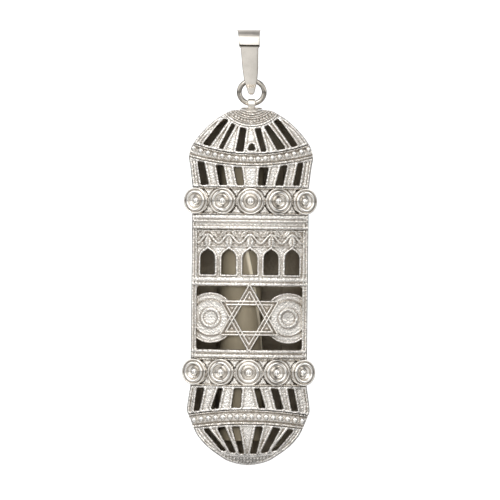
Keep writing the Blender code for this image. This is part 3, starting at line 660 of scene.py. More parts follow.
GRAIN_STEP = 0.4


def end_inside(x, z):
    return np.minimum(END_RIM(x, z) - GAP / 2, side_distance(x, z))


def end_height(x, z):
    rim = 0.12 * bump(END_RIM(x, z) - 0.12, 0.3)
    wire = 0.16 * bump(side_distance(x, z) - 0.16, 0.3)
    grains = 0.13 * np.abs(np.cos(x * pi / GRAIN_STEP) * np.cos((z - FOOT) * pi / GRAIN_STEP))
    return np.maximum(np.maximum(rim, wire), grains) - soft_edge(side_distance(x, z), 0.15)


relief(
    "lower_cap_skin", (-5.0, 5.0, FOOT - 0.05, FOOT + 2.2), end_inside, end_height, CAST, "lower_end_cap",
    cell=0.06,
)

# %% [markdown]
# ## Rosette bands
# Five dished rosettes sit side by side round each band, every one turned to face straight out of the arc, and
# each holds a ball. A cup is a profile spun once round its axis: rim wire, groove, main ring, dish.

# %% Band strips
def band_strip(stage, low, high):
    """A recessed strip with a ridge along each edge and a shallow moat round each rosette's seat."""
    centres = [sum(span(f"{stage}_rosette_{number}", 0)) / 2 for number in range(1, 6)]
    reach = span(f"{stage}_rosette_3", 0)[1] + 0.04

    def inside(x, z):
        return np.minimum(np.minimum(high - z, z - low), HALF_WIDTH - np.abs(x))

    def height(x, z):
        ridge = bump(high - z - 0.13, 0.26) + bump(z - low - 0.13, 0.26)
        rings = [np.hypot((x - c) / sqrt(1 - (c / ARCH_RADIUS) ** 2), z - (low + high) / 2) for c in centres]
        moat = bump(np.min(rings, axis=0) - reach, 0.3)
        return RECESS * 0.85 * ridge + 0.02 * noise(x, z, 0.3) - 0.16 * moat

    box = (-HALF_WIDTH, HALF_WIDTH, low, high)
    relief(f"{stage}_band_strip", box, inside, height, CAST, f"{stage}_rosette_band", layer=RECESS)


# %% Rosettes and balls
ROSETTE_RADIUS = span("upper_rosette_3", 0)[1]
CUP_BASE, CUP_GROOVE, CUP_RIM, CUP_RIDGE = 0.16, 0.29, 0.46, 0.66
RING_RADIUS, RING_HALF = 1.08, 0.2
BALL_RADIUS = 0.48
ROUND_STEPS = 48


def spun(profile, matrix):
    """A profile of (radius, height) spun once round its own axis and put in place, as a bmesh."""
    shape = bmesh.new()
    verts = [shape.verts.new((r * MM, 0, h * MM)) for r, h in profile]
    edges = [shape.edges.new(pair) for pair in zip(verts, verts[1:])]
    bmesh.ops.spin(
        shape, geom=verts + edges, cent=(0, 0, 0), axis=(0, 0, 1), angle=2 * pi, steps=ROUND_STEPS, use_merge=True
    )
    bmesh.ops.remove_doubles(shape, verts=shape.verts, dist=0.002 * MM)
    bmesh.ops.recalc_face_normals(shape, faces=shape.faces)
    bmesh.ops.transform(shape, matrix=matrix, verts=shape.verts)
    return shape


def arc_points(centre, radius, start, end, count):
    """Points on a round wire's section, the angles in degrees."""
    angles = np.radians(np.linspace(start, end, count))
    return [(centre[0] + radius * cos(a), centre[1] + radius * sin(a)) for a in angles]


# %% Cup profile
def cup_profile():
    rise = ((0, 0), (0.5, 0.02), (0.6, 0.05), (0.72, 0.12), (0.83, 0.22))
    dish = [(radius, CUP_BASE + height) for radius, height in rise]
    ring = arc_points((RING_RADIUS, CUP_RIDGE - RING_HALF), RING_HALF, 175, 0, 10)
    groove = [(RING_RADIUS + RING_HALF + 0.02, CUP_GROOVE + 0.02), (RING_RADIUS + RING_HALF + 0.07, CUP_GROOVE)]
    rim = arc_points((ROSETTE_RADIUS - 0.1, CUP_RIM - 0.1), 0.1, 185, -10, 8)
    return dish + ring + groove + rim + [(ROSETTE_RADIUS, 0), (0, 0)]


def shade_by_radius(piece, matrix):
    """Painted shade in a cup: dark in the groove and the dish, a painted contact shadow round the ball, clean silver
    on the ring.
    """
    inverse = matrix.inverted()
    local = [inverse @ v.co for v in piece.data.vertices]
    radii = np.array([sqrt(p.x**2 + p.y**2) for p in local]) / MM
    heights = np.array([p.z for p in local]) / MM
    # Painted shade: dark in the groove between the ring and the rim, lighter in the dish
    groove = 0.6 * np.clip((CUP_RIM - heights) / 0.2, 0, 1) * (np.abs(radii - 1.36) < 0.12)
    dish = 0.3 * np.clip((CUP_RIM - heights) / 0.3, 0, 1) * (radii < RING_RADIUS)
    # Painted contact shadow in a thin ring round the ball
    seat = 0.9 * (np.abs(radii - BALL_RADIUS - 0.03) < 0.06)
    recess = np.maximum(np.maximum(groove, dish), seat) * (heights > 0.02)
    layer = piece.data.attributes.new("recess", "FLOAT", "POINT")
    layer.data.foreach_set("value", recess.astype(np.float32))


# %% Set the rosettes round the bands
for stage, (low, high) in (("upper", UPPER_BAND), ("lower", LOWER_BAND)):
    band_strip(stage, low, high)
    for number in range(1, 6):
        left, right = span(f"{stage}_rosette_{number}", 0)
        angle = asin((left + right) / 2 / (ARCH_RADIUS - 0.05))
        foot = ARCH_RADIUS - RECESS * cos(angle) + GAP
        centre = Vector((foot * sin(angle), ARCH_RADIUS - APEX - foot * cos(angle), (low + high) / 2)) * MM
        turn = Matrix.Translation(centre) @ Matrix.Rotation(angle, 4, "Z") @ Matrix.Rotation(pi / 2, 4, "X")
        cup = object_from(
            f"{stage}_cup_{number}", spun(cup_profile(), turn), POLISHED, "case", f"{stage}_rosette_{number}",
            sharp=50,
        )
        shade_by_radius(cup, turn)
        seat = CUP_BASE + GAP
        dome = [(BALL_RADIUS * sin(a), seat + 0.46 * cos(a)) for a in np.linspace(0, pi / 2, 10)]
        ball = spun([(0, dome[0][1]), *dome[1:], (0, seat)], turn)
        object_from(f"{stage}_bead_{number}", ball, BURNISHED, "case", f"{stage}_ball_{number}", sharp=50)
print("rosettes:", 10)

# %% [markdown]
# ## Window frame
# The straight middle of the case is a frame with two windows. Mouldings run across above the upper window,
# between the windows and below the lower one, like the cornice and sill of a small building.

# %% Window frame
STAR_WINDOW = (LOWER_BAND[1] + 1.05, ORNAMENT[0] - GAP - 1.1)
WINDOW_HALF = HALF_WIDTH - 0.62
WINDOW_ROUND = 0.3
ORNAMENT_WINDOW = (ORNAMENT[0] - GAP, ORNAMENT[1] + GAP)
MOULDINGS = (
    (UPPER_BAND[0] - 0.28, 0.4, 0.1), (UPPER_BAND[0] - 0.72, 0.36, 0.22), (UPPER_BAND[0] - 1.5, 0.4, 0.24),
    (ORNAMENT_WINDOW[0] - 0.3, 0.4, 0.12), (STAR_WINDOW[1] + 0.25, 0.4, 0.22),
    (STAR_WINDOW[0] - 0.22, 0.36, 0.2), (STAR_WINDOW[0] - 0.78, 0.4, 0.22),
)


def frame_inside(x, z):
    outer = np.minimum(np.minimum(UPPER_BAND[0] - z, z - LOWER_BAND[1]) - GAP / 2, HALF_WIDTH - np.abs(x))
    window = polygon(x, z, box_corners(-WINDOW_HALF, WINDOW_HALF, *ORNAMENT_WINDOW))
    star_corners = shrink(box_corners(-WINDOW_HALF, WINDOW_HALF, *STAR_WINDOW), WINDOW_ROUND)
    star = polygon(x, z, star_corners) + WINDOW_ROUND
    return np.minimum(outer, -np.maximum(window, star))


def frame_height(x, z):
    total = 0.014 * noise(x, z, 0.45)
    for middle, width, tall in MOULDINGS:
        total = np.maximum(total, tall * bump(z - middle, width))
    rail = 0.14 * bump(HALF_WIDTH - np.abs(x) - 0.14, 0.26) + 0.1 * bump(HALF_WIDTH - np.abs(x) - 0.5, 0.22)
    return np.maximum(total, rail) - soft_edge(HALF_WIDTH - np.abs(x), 0.12)


relief(
    "frame_mouldings", (-HALF_WIDTH, HALF_WIDTH, LOWER_BAND[1], UPPER_BAND[0]), frame_inside, frame_height,
    CAST, "window_frame",
)

# %% [markdown]
# ## Ornament panel
# The upper window holds a pierced arcade of pointed arches with lips, under a running vine. The vine's stem is
# a wave, and a leaf stands in each bend of it.

# %% Ornament panel
PANEL_HALF = WINDOW_HALF - GAP
ARCHES = 5
ARCH_PITCH = 2 * PANEL_HALF / ARCHES
ARCH_WIDTH = 0.66 * ARCH_PITCH
ARCH_FOOT = ORNAMENT_WINDOW[0] + 0.35
ARCH_TOP = ARCH_FOOT + 3.0
VINE_MIDDLE = (ARCH_TOP + ORNAMENT_WINDOW[1]) / 2 + 0.05
VINE_SWING = 0.5


def arch_outline(middle):
    spring = ARCH_TOP - 0.62 * ARCH_WIDTH
    shoulder = ((0.5, 0.0), (0.44, 0.24), (0.28, 0.42), (0.1, 0.53), (0.0, 0.62))
    right = [(middle + w * ARCH_WIDTH, spring + h * ARCH_WIDTH) for w, h in shoulder]
    left = [(2 * middle - x, z) for x, z in reversed(right[:-1])]
    return [(middle + ARCH_WIDTH / 2, ARCH_FOOT), *right, *left, (middle - ARCH_WIDTH / 2, ARCH_FOOT)]


ARCH_OUTLINES = [arch_outline(ARCH_PITCH * (i - (ARCHES - 1) / 2)) for i in range(ARCHES)]


def arcade(x, z):
    return np.max([polygon(x, z, outline) for outline in ARCH_OUTLINES], axis=0)


def leaf(x, z, centre, lean, length, width):
    """Height share of a pointed leaf with a groove down its middle."""
    along = (x - centre[0]) * cos(lean) + (z - centre[1]) * sin(lean)
    across = -(x - centre[0]) * sin(lean) + (z - centre[1]) * cos(lean)
    reach = width * np.clip(1 - np.square(2 * along / length), 0, 1)
    body = np.sqrt(np.clip(1 - np.square(across / np.maximum(reach, 0.01)), 0, 1))
    return body * (1 - 0.45 * bump(across, 0.14))


def vine(x, z):
    turn = 2 * pi / ARCH_PITCH
    line = VINE_MIDDLE + VINE_SWING * np.cos(turn * x)
    slope = VINE_SWING * turn * np.sin(turn * x)
    total = 0.8 * bump((z - line) / np.sqrt(1 + slope**2), 0.34)
    for index in range(-2, 3):
        middle = index * ARCH_PITCH
        total = np.maximum(total, leaf(x, z, (middle, VINE_MIDDLE - 0.35), pi / 2, 1.5, 0.5))
        for side in (-1, 1):
            place = (middle + side * 0.72, VINE_MIDDLE + 0.58)
            total = np.maximum(total, leaf(x, z, place, side * -0.75, 1.25, 0.3))
    return total


# %% Vine and arcade in relief
def panel_inside(x, z):
    outer = np.minimum(PANEL_HALF - np.abs(x), np.minimum(ORNAMENT[1] - z, z - ORNAMENT[0]))
    return np.minimum(outer, -arcade(x, z))


def panel_height(x, z):
    lip = 0.2 * bump(-arcade(x, z) - 0.15, 0.3)
    shelf = 0.16 * bump(z - ARCH_TOP - 0.34, 0.2)
    top = 0.12 * bump(ORNAMENT[1] - z - 0.1, 0.2)
    field = 0.3 * vine(x, z) * np.clip((z - ARCH_TOP - 0.25) / 0.15, 0, 1)
    return np.maximum(np.maximum(lip, shelf), np.maximum(top, field)) + 0.015 * noise(x, z, 0.3)


relief(
    "vine_and_arcade", (-PANEL_HALF, PANEL_HALF, ORNAMENT[0], ORNAMENT[1]), panel_inside, panel_height, CAST,
    "ornament_panel", layer=RECESS / 2, cell=0.06,
)

# %% [markdown]
# ## Star and discs
# A six-pointed star of two crossed triangles stands proud of the lower window. Each bar carries two fine
# ridges, the six points hold small pyramids, and the middle is open. A stepped disc lies behind it each side.

# %% Star of two triangles
STAR_MIDDLE = (STAR_WINDOW[0] + STAR_WINDOW[1]) / 2
STAR_RADIUS = 4.25
STAR_BAR = 0.66
STAR_PROUD = 0.2


def triangle(x, z, way):
    """Distance inside a triangle that points up (way 1) or down (way -1)."""
    rise = way * (z - STAR_MIDDLE)
    slant = sqrt(3) / 2 * np.abs(x) + rise / 2
    return STAR_RADIUS / 2 - np.maximum(slant, -rise)


def star_inside(x, z):
    up, down = triangle(x, z, 1), triangle(x, z, -1)
    return np.minimum(np.maximum(up, down), STAR_BAR - np.minimum(up, down))


def star_bar(x, z, way):
    """Height of one triangle's bars: a flat with a ridge along each side."""
    depth = triangle(x, z, way)
    sides = np.maximum(bump(depth - 0.12, 0.26), bump(depth - STAR_BAR + 0.14, 0.26))
    on_bar = (depth > -0.01) & (depth < STAR_BAR)
    return np.where(on_bar, 0.12 + 0.26 * sides, 0)


def star_height(x, z):
    """Bars pass over and under in turn, and pyramids fill the points."""
    turn = np.arctan2(x, z - STAR_MIDDLE)
    over = 0.1 * np.sign(np.sin(3 * turn))
    bars = np.maximum(star_bar(x, z, 1) + np.maximum(over, 0), star_bar(x, z, -1) + np.maximum(-over, 0))
    up, down = triangle(x, z, 1), triangle(x, z, -1)
    in_point = np.maximum(up, down) - STAR_BAR
    pyramid = np.minimum(in_point, -np.minimum(up, down)) * 1.1
    return np.maximum(bars, np.clip(pyramid, 0, 0.34)) * np.clip(star_inside(x, z) / 0.03 + 0.6, 0, 1)


relief(
    "crossed_triangles", (-3.9, 3.9, STAR_MIDDLE - 4.3, STAR_MIDDLE + 4.3), star_inside, star_height, SATIN,
    "star_of_david", layer=-STAR_PROUD + 0.25, back=0.25, cell=0.05,
)

# %% Stepped discs
DISC_CENTRE = HALF_WIDTH - 0.62 - 1.68
DISC_RADIUS = 3.05


def disc(name, sign, node_name):
    centre = (sign * DISC_CENTRE, STAR_MIDDLE)

    def inside(x, z):
        return np.minimum(circle(x, z, centre, DISC_RADIUS), PANEL_HALF - np.abs(x))

    def height(x, z):
        reach = np.hypot(x - centre[0], z - centre[1])
        step = 0.22 * np.clip((2.16 - reach) / 0.08, 0, 1)
        ring = 0.24 * bump(reach - 1.03, 0.42)
        rim = 0.16 * bump(reach - DISC_RADIUS + 0.14, 0.26)
        lip = 0.12 * bump(reach - 2.08, 0.2)
        dish = -0.1 * np.clip(1 - reach / 0.8, 0, 1)
        return rim + step + np.maximum(ring, lip) + dish + 0.015 * noise(x, z, 0.28)

    low, high = sorted((centre[0] - sign * DISC_RADIUS, sign * PANEL_HALF))
    box = (low, high, STAR_MIDDLE - DISC_RADIUS, STAR_MIDDLE + DISC_RADIUS)
    relief(name, box, inside, height, CAST, node_name, layer=0.5, back=0.83, cell=0.06)


disc("left_stepped_disc", -1, "left_disc")
disc("right_stepped_disc", 1, "right_disc")

# %% [markdown]
# ## Case wall
# The wall is one band bent round the whole outline. A circle of points is moved onto the outline and its edge
# is extruded four times: along the outside, round the back, and forward again along the inside.


# %% Case wall
def outline_loop(inset, count=220):
    """Points round the case's outline at even steps, moved inwards by the inset."""
    right = [Vector(p) for p in SIDE]
    left = [Vector((-p.x, p.y)) for p in reversed(right[1:-1])]
    loop = right + left
    steps = [0.0]
    for a, b in zip(loop, loop[1:] + loop[:1]):
        steps.append(steps[-1] + (b - a).length)
    even = np.linspace(0, steps[-1], count, endpoint=False)
    xs = np.interp(even, steps, [p.x for p in loop + loop[:1]])
    zs = np.interp(even, steps, [p.y for p in loop + loop[:1]])
    along = np.stack([np.roll(xs, -1) - np.roll(xs, 1), np.roll(zs, -1) - np.roll(zs, 1)])
    along /= np.maximum(np.hypot(*along), 1e-6)
    return xs - inset * along[1], zs + inset * along[0]


# %% Extrude the wall
WALL_BACK = span("side_wall", 1)[1]
shape = bmesh.new()
ring = bmesh.ops.create_circle(shape, segments=220, radius=1)["verts"]
stages = ((0.0, 0.0), (0.0, 0.06), (0.0, 0.5), (0.0, 0.94), (0.0, 1.0), (0.7, 1.0), (0.7, 0.0))
rings = [ring]
for _ in stages[1:]:
    edges = [e for e in shape.edges if all(v in set(rings[-1]) for v in e.verts)]
    made = bmesh.ops.extrude_edge_only(shape, edges=edges)["geom"]
    fresh = [g for g in made if isinstance(g, bmesh.types.BMVert)]
    partner = {}
    for vert in fresh:
        for edge in vert.link_edges:
            other = edge.other_vert(vert)
            if other in rings[-1]:
                partner[other] = vert
    rings.append([partner[v] for v in rings[-1]])
for verts, (inset, back) in zip(rings, stages):
    xs, zs = outline_loop(inset)
    ahead = front(xs, zs) + PANEL + GAP
    for vert, x, y, z in zip(verts, xs, ahead + (WALL_BACK - ahead) * back, zs):
        vert.co = (x * MM, y * MM, z * MM)
bmesh.ops.bridge_loops(
    shape,
    edges=[e for e in shape.edges if e.is_boundary],
)
bmesh.ops.recalc_face_normals(shape, faces=shape.faces)
wall = object_from("case_wall", shape, SATIN, "case", "side_wall")
wall.data.materials.append(OXIDISED)
for face in wall.data.polygons:
    middle = face.center / MM
    if side_distance(np.array([middle.x]), np.array([middle.z]))[0] > 0.3:
        face.material_index = 1
print("case wall:", len(wall.data.polygons), "faces")

# %% [markdown]
# ## Plain parts of the back
# The back frame, guides, stop, plate and grip have the right shape already, with dead sharp edges. A copy of
# each is merged, bevelled and given its finish, which is what a file and a polishing wheel do to sheet.


# %% Refine plain parts
def refined(name, node_name, body, material, width):
    shape = bmesh.new()
    shape.from_mesh(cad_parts[node_name].data)
    bmesh.ops.remove_doubles(shape, verts=shape.verts, dist=0.002 * MM)
    bmesh.ops.dissolve_limit(
        shape, angle_limit=radians(1), verts=shape.verts, edges=shape.edges, use_dissolve_boundaries=False
    )
    sharp = [e for e in shape.edges if e.is_manifold and e.calc_face_angle() > radians(50)]
    bmesh.ops.bevel(
        shape, geom=sharp, offset=width * MM, segments=3, profile=0.5, affect="EDGES", material=-1,
        clamp_overlap=True,
    )
    piece = object_from(name, shape, material, body, node_name, sharp=35)
    piece.data.materials.append(OXIDISED)
    for face in piece.data.polygons:
        if face.normal.y < -0.7 and face.center.y > 0.001:
            face.material_index = 1
    print(f"{name}: {len(piece.data.polygons)} faces")


refined("rear_frame", "back_frame", "case", SATIN, 0.1)
refined("left_channel", "left_guide", "case", POLISHED, 0.08)
refined("right_channel", "right_guide", "case", POLISHED, 0.08)
refined("channel_stop", "top_stop", "case", POLISHED, 0.08)
refined("sliding_plate", "back_plate", "back", SATIN, 0.08)
refined("thumb_grip", "plate_grip", "back", POLISHED, 0.04)

# %% [markdown]
# ## Parchment roll
# The scroll is one sheet wound on itself. A flat grid is wrapped onto a spiral, and the turn at which it ends
# changes along its length, so that its free edge runs at a slant as a loosely rolled sheet's does.

# %% Parchment roll
(left, right), (low, high) = span("parchment_scroll", 0), span("parchment_scroll", 2)
ROLL_RADIUS = (right - left) / 2
ROLL_X = (left + right) / 2
ROLL_Y = sum(span("parchment_scroll", 1)) / 2
ROLL_TURNS = 5.0
SHEET_THICKNESS = 0.12
TURN_PITCH = 0.24
EDGE_SLANT = radians(5.1)
EDGE_START = radians(-36.0)

shape = bmesh.new()
bmesh.ops.create_grid(shape, x_segments=300, y_segments=30, size=0.5)
painted_edge_highlight = shape.verts.layers.float.new("painted_edge_highlight")
for vert in shape.verts:
    around, along = vert.co.x + 0.5, vert.co.y + 0.5
    z = high - (high - low) * along
    end = EDGE_START + EDGE_SLANT * (high - z)
    # Only the last row at the free edge carries the painted highlight
    vert[painted_edge_highlight] = 1.0 if around > 0.995 else 0.0
    turn = end - 2 * pi * ROLL_TURNS * (1 - around)
    radius = ROLL_RADIUS - SHEET_THICKNESS - TURN_PITCH * ROLL_TURNS * (1 - around)
    vert.co = Vector((ROLL_X + radius * sin(turn), ROLL_Y - radius * cos(turn), z)) * MM
bmesh.ops.recalc_face_normals(shape, faces=shape.faces)
bmesh.ops.solidify(shape, geom=shape.faces[:], thickness=SHEET_THICKNESS * MM)
bmesh.ops.recalc_face_normals(shape, faces=shape.faces)
roll = object_from("parchment_roll", shape, PARCHMENT, "scroll", "parchment_scroll")
print("parchment roll:", len(roll.data.polygons), "faces")

# %% [markdown]
# ## Bail, ring and eye
# The bail is a polished strap folded over the chain and pinched together below the ring. Its section is a flat
# strip swept round a teardrop and tapered towards the tip. The ring is round wire bent to an oval.

# %% Bail
BAIL_TOP = span("bail", 2)[1]
BAIL_TIP = span("bail", 2)[0]
RING_TOP = span("jump_ring", 2)[1] - 0.3
BAIL_INNER, BAIL_STRAP, FOOT_INNER, TONGUE_HALF = 1.5, 0.4, 0.55, 0.4


def bail_outer():
    """Outside of the folded strap seen from the side, from the tip up the back and down the front."""
    radius = BAIL_INNER + BAIL_STRAP
    foot = FOOT_INNER + BAIL_STRAP
    over = [(radius * cos(a), radius * sin(a) - BAIL_INNER) for a in np.linspace(0, pi, 33)]
    right = [(0.5 * TONGUE_HALF, BAIL_TIP), (0.95 * TONGUE_HALF, BAIL_TIP + 0.15), (TONGUE_HALF, BAIL_TIP + 0.5)]
    right += [(1.25 * TONGUE_HALF, RING_TOP - 0.85), (0.78 * foot, RING_TOP - 0.5)]
    right += [(0.92 * foot, RING_TOP - 0.2), (foot, RING_TOP + 0.1)]
    crease = [(-radius, -1.54), (-radius + 0.14, -1.62), (-radius + 0.08, -1.72)]
    return right + over + crease + [(-y, z) for y, z in reversed(right)]


def bail_inner():
    over = [(BAIL_INNER * cos(a), BAIL_INNER * sin(a) - BAIL_INNER) for a in np.linspace(0, pi, 33)]
    under = [(FOOT_INNER * cos(a), RING_TOP + FOOT_INNER * sin(a)) for a in np.linspace(pi, 2 * pi, 25)]
    return over + under


def ring_of_edges(shape, points):
    verts = [shape.verts.new((0, y * MM, z * MM)) for y, z in points]
    return [shape.edges.new(pair) for pair in zip(verts, verts[1:] + verts[:1])]


shape = bmesh.new()
outline = ring_of_edges(shape, bail_outer()) + ring_of_edges(shape, bail_inner())
bmesh.ops.triangle_fill(shape, edges=outline, use_beauty=True)
for z in np.linspace(BAIL_TIP, BAIL_TOP, 90)[1:-1]:
    everything = shape.verts[:] + shape.edges[:] + shape.faces[:]
    bmesh.ops.bisect_plane(
        shape, geom=everything, dist=0.001 * MM, plane_co=(0, 0, z * MM), plane_no=(0, 0, 1)
    )
made = bmesh.ops.extrude_face_region(shape, geom=shape.faces[:], use_keep_orig=True)["geom"]
far = {g for g in made if isinstance(g, bmesh.types.BMVert)}
# How wide half the strap is at each height, from the tip to the fold
STRAP_HEIGHTS = (BAIL_TIP, BAIL_TIP + 0.14, BAIL_TIP + 0.5, RING_TOP, -4.4, -1.72, -1.6, -0.4, 0.1, BAIL_TOP)
STRAP_HALVES = (0.16, 0.34, 0.46, 0.77, 0.94, 1.07, 1.24, 1.27, 1.32, 1.42)
LEAN, SET_LEFT = 0.048, 0.13
for vert in shape.verts:
    half = np.interp(vert.co.z / MM, STRAP_HEIGHTS, STRAP_HALVES) * MM
    vert.co.x = (half if vert in far else -half) - LEAN * (vert.co.z - RING_TOP * MM) - SET_LEFT * MM
bmesh.ops.recalc_face_normals(shape, faces=shape.faces)
rim = [e for e in shape.edges if e.is_manifold and e.calc_face_angle() > radians(60)]
bmesh.ops.bevel(shape, geom=rim, offset=0.05 * MM, segments=2, profile=0.5, affect="EDGES", material=-1)
bail = object_from("strap_bail", shape, STRAP_IN_PAINTED_SHADE, "bail", "bail", sharp=30)

# %% Painted shade in the bail's folds and along its edges
# Each painted fold shadow: its height, how far it reaches up and down, and how dark it is
PAINTED_FOLD_SHADOWS = ((-1.63, 0.13, 1.0), (-0.36, 0.11, 0.5))
places = np.array([v.co for v in bail.data.vertices]) / MM
middle = -LEAN * (places[:, 2] - RING_TOP) - SET_LEFT
from_edge = np.interp(places[:, 2], STRAP_HEIGHTS, STRAP_HALVES) - np.abs(places[:, 0] - middle)
# A painted dark line along both edges of the strap
recess = 0.7 * (from_edge < 0.035)
# Painted shadows under the folds, on the front only
for at, reach, depth in PAINTED_FOLD_SHADOWS:
    recess = np.maximum(recess, depth * np.clip(1.4 - np.abs(places[:, 2] - at) / reach, 0, 1) * (places[:, 1] < 0))
layer = bail.data.attributes.new("recess", "FLOAT", "POINT")
layer.data.foreach_set("value", recess.astype(np.float32))
# The count is of points that carry painted shade
print("bail tarnish on", int((recess > 0.1).sum()), "of", len(recess), "points")

# %% Jump ring
RING_FOOT = span("jump_ring", 2)[0] + 0.3
RING_WIRE = 0.3
RING_HALF_WIDTH = span("jump_ring", 0)[1] - RING_WIRE
shape = bmesh.new()
section = bmesh.ops.create_circle(shape, segments=24, radius=RING_WIRE * MM)["verts"]
stand = Matrix.Translation((RING_HALF_WIDTH * MM, 0, 0))
bmesh.ops.transform(shape, matrix=stand, verts=section)
bmesh.ops.rotate(
    shape, verts=section, cent=(RING_HALF_WIDTH * MM, 0, 0), matrix=Matrix.Rotation(0, 3, "X")
)
bmesh.ops.spin(
    shape, geom=shape.verts[:] + shape.edges[:], cent=(0, 0, 0), axis=(0, 1, 0), angle=2 * pi, steps=96,
    use_merge=True,
)
bmesh.ops.remove_doubles(shape, verts=shape.verts, dist=0.001 * MM)
ring_middle = (RING_TOP + RING_FOOT) / 2
squeeze = (RING_TOP - RING_FOOT) / 2 / RING_HALF_WIDTH
for vert in shape.verts:
    reach = Vector((vert.co.x, 0, vert.co.z))
    spine = reach.normalized() * RING_HALF_WIDTH * MM
    offset = vert.co - spine
    vert.co = Vector((spine.x, 0, spine.z * squeeze)) + offset + Vector((0, 0, ring_middle * MM))
bmesh.ops.recalc_face_normals(shape, faces=shape.faces)
object_from("wire_ring", shape, WIRE_IN_PAINTED_SHADE, "ring", "jump_ring", sharp=60)

# %% Eye strap and collar
refined("eye_strap", "case_eye", "case", STRAP_IN_PAINTED_SHADE, 0.06)
collar_low, collar_high = span("eye_collar", 2)
COLLAR = span("eye_collar", 0)[1]
profile = [(0, collar_high)]
profile += arc_points((COLLAR - 0.09, (collar_low + collar_high) / 2), 0.09, 90, -90, 9) + [(0, collar_low)]
object_from("collar_ring", spun(profile, Matrix.Identity(4)), STRAP_IN_PAINTED_SHADE, "case", "eye_collar", sharp=50)
print("hanging parts made")

# %% [markdown]
# ## Studio
# The pendant is lit as jewellery is: a white tent with large soft lights and a few dark gaps, which draw the
# thin dark lines on polished metal. A white sheet hangs behind it, far enough back to clear the swinging case,
# and a lamp that lights only matt surfaces throws a faint shadow on it.

# %% Backdrop and lights
SHEET_BACK = 0.05
FLOOR_DEPTH = 0.12
STAGE_SIZE = 1.2


def stage_plane(name, place):
    """A large square for the studio set that stays out of the metal's reflections."""
    shape = bmesh.new()
    bmesh.ops.create_grid(shape, x_segments=1, y_segments=1, size=STAGE_SIZE, matrix=place)
    mesh = bpy.data.meshes.new(name)
    shape.to_mesh(mesh)
    shape.free()
    plane = bpy.data.objects.new(name, mesh)
    bpy.context.scene.collection.objects.link(plane)
    plane.visible_glossy = False
    return plane


upright = Matrix.Translation((0, SHEET_BACK, -0.026)) @ Matrix.Rotation(pi / 2, 4, "X")
white_sheet = stage_plane("white_sheet", upright)
pale_floor = stage_plane("pale_floor", Matrix.Translation((0, 0, -FLOOR_DEPTH)))
paper = bpy.data.materials.new("white_studio_paper")
paper.use_nodes = True
tree = paper.node_tree
tree.nodes.remove(tree.nodes["Principled BSDF"])
matt = node(tree, "ShaderNodeBsdfDiffuse", {"Color": linear("#f4f4f4")})
glow = node(tree, "ShaderNodeEmission", {"Color": linear("#ffffff"), "Strength": 0.05})
lit = node(tree, "ShaderNodeAddShader", {0: matt.outputs[0], 1: glow.outputs[0]})
clear = node(tree, "ShaderNodeBsdfTransparent")
side = node(tree, "ShaderNodeNewGeometry").outputs["Backfacing"]
one_sided = node(tree, "ShaderNodeMixShader", {0: side, 1: lit.outputs[0], 2: clear.outputs[0]})
tree.links.new(one_sided.outputs[0], tree.nodes["Material Output"].inputs["Surface"])
white_sheet.data.materials.append(paper)
pale_floor.data.materials.append(paper)
print("stage:", white_sheet.name, pale_floor.name)


# %% Softboxes
def softbox(name, place, aim, size, power, in_gloss=True):
    """A square area light at a place in metres, turned towards its aim; it may be kept out of reflections."""
    light = bpy.data.lights.new(name, "AREA")
    light.size = size
    light.energy = power
    lamp = bpy.data.objects.new(name, light)
    lamp.location = place
    lamp.visible_glossy = in_gloss
    lamp.rotation_euler = (Vector(aim) - Vector(place)).to_track_quat("-Z", "Y").to_euler()
    bpy.context.scene.collection.objects.link(lamp)


MIDDLE = (0, 0, -0.026)
softbox("key_softbox", (-0.2, -0.3, 0.3), MIDDLE, 0.16, 0.3)
softbox("side_softbox", (0.4, -0.2, 0.1), MIDDLE, 0.12, 0.1)
softbox("shadow_lamp", (-0.02, -0.42, 0.01), MIDDLE, 0.045, 0.5, in_gloss=False)

# %% [markdown]
# The tent is the world: its brightness is read from the direction alone. A ramp over height gives a bright
# ceiling and a dimmer floor with a dark line between them, a ramp over depth makes the front brighter than the
# back, and a ramp from left to right cuts two dark gaps.


# %% Studio tent
def ramp_over(tree, direction, stops):
    """Brightness along one axis of the direction, as stops of (-1 to 1, brightness)."""
    share = node(tree, "ShaderNodeMath", {0: direction, 1: 0.5, 2: 0.5}, operation="MULTIPLY_ADD")
    ramp = node(tree, "ShaderNodeValToRGB", {0: share.outputs[0]})
    while len(ramp.color_ramp.elements) < len(stops):
        ramp.color_ramp.elements.new(0.5)
    for element, (place, value) in zip(ramp.color_ramp.elements, stops):
        element.position = (place + 1) / 2
        element.color = (value, value, value, 1)
    return ramp.outputs[0]


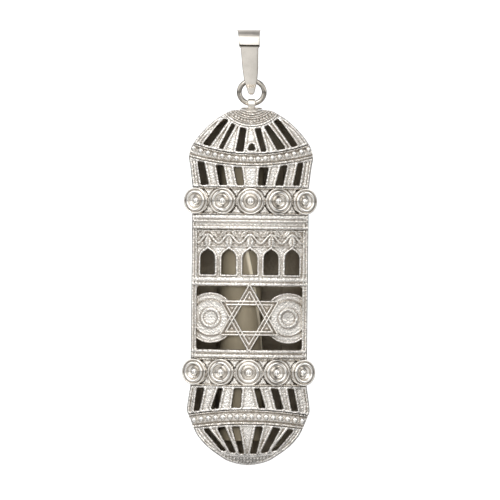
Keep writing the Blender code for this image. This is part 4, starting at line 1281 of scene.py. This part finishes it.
HEIGHT_STOPS = (
    (-1.0, 0.42), (-0.75, 0.48), (-0.5, 0.5), (-0.2, 0.52), (-0.03, 0.52), (0.0, 0.2), (0.065, 0.12), (0.11, 0.85),
    (0.5, 1.0), (0.85, 0.95), (0.95, 0.85), (1.0, 0.8),
)
SIDE_STOPS = (
    (-1.0, 0.35), (-0.9, 0.95), (-0.72, 1.0), (-0.62, 0.15), (-0.5, 0.2), (-0.36, 1.0), (0.3, 0.85), (0.46, 0.2),
    (0.62, 0.15), (0.74, 0.8), (0.9, 0.7), (1.0, 0.2),
)
DEPTH_STOPS = ((-1.0, 1.0), (-0.25, 1.0), (-0.05, 0.3), (0.3, 0.3), (0.7, 0.5), (1.0, 0.6))
world = bpy.data.worlds.new("studio_tent")
bpy.context.scene.world = world
world.use_nodes = True
tree = world.node_tree
direction = node(tree, "ShaderNodeTexCoord").outputs["Generated"]
parts = node(tree, "ShaderNodeSeparateXYZ", {0: direction})
heights = ramp_over(tree, parts.outputs["Z"], HEIGHT_STOPS)
sides = ramp_over(tree, parts.outputs["X"], SIDE_STOPS)
depths = ramp_over(tree, parts.outputs["Y"], DEPTH_STOPS)
tent = node(tree, "ShaderNodeMath", {0: heights, 1: sides}, operation="MULTIPLY")
tent = node(tree, "ShaderNodeMath", {0: tent.outputs[0], 1: depths}, operation="MULTIPLY")
tent = node(tree, "ShaderNodeMath", {0: tent.outputs[0], 1: 2.15}, operation="MULTIPLY")
seen = node(tree, "ShaderNodeLightPath").outputs["Is Camera Ray"]
room = node(tree, "ShaderNodeMix", {"Factor": seen, "A": tent.outputs[0], "B": (1, 1, 1, 1)}, data_type="RGBA")
tree.links.new(room.outputs["Result"], tree.nodes["Background"].inputs["Color"])

# %% [markdown]
# ## Camera
# A long lens a good way off keeps the sides parallel, as a catalogue picture of jewellery does.

# %% Camera
FRAME_WIDTH = 0.060
LENS = 400.0
SENSOR = 36.0
ROLL = radians(-0.63)
camera = bpy.data.objects.new("camera", bpy.data.cameras.new("camera"))
camera.data.lens = LENS
camera.data.sensor_width = SENSOR
camera.data.clip_start = 0.01
camera.location = (0, -FRAME_WIDTH * LENS / SENSOR, -0.02604)
camera.rotation_euler = (pi / 2, ROLL, 0)
bpy.context.scene.collection.objects.link(camera)
bpy.context.scene.camera = camera
bpy.context.scene.view_settings.view_transform = "Standard"
print("camera at", tuple(round(c, 3) for c in camera.location))
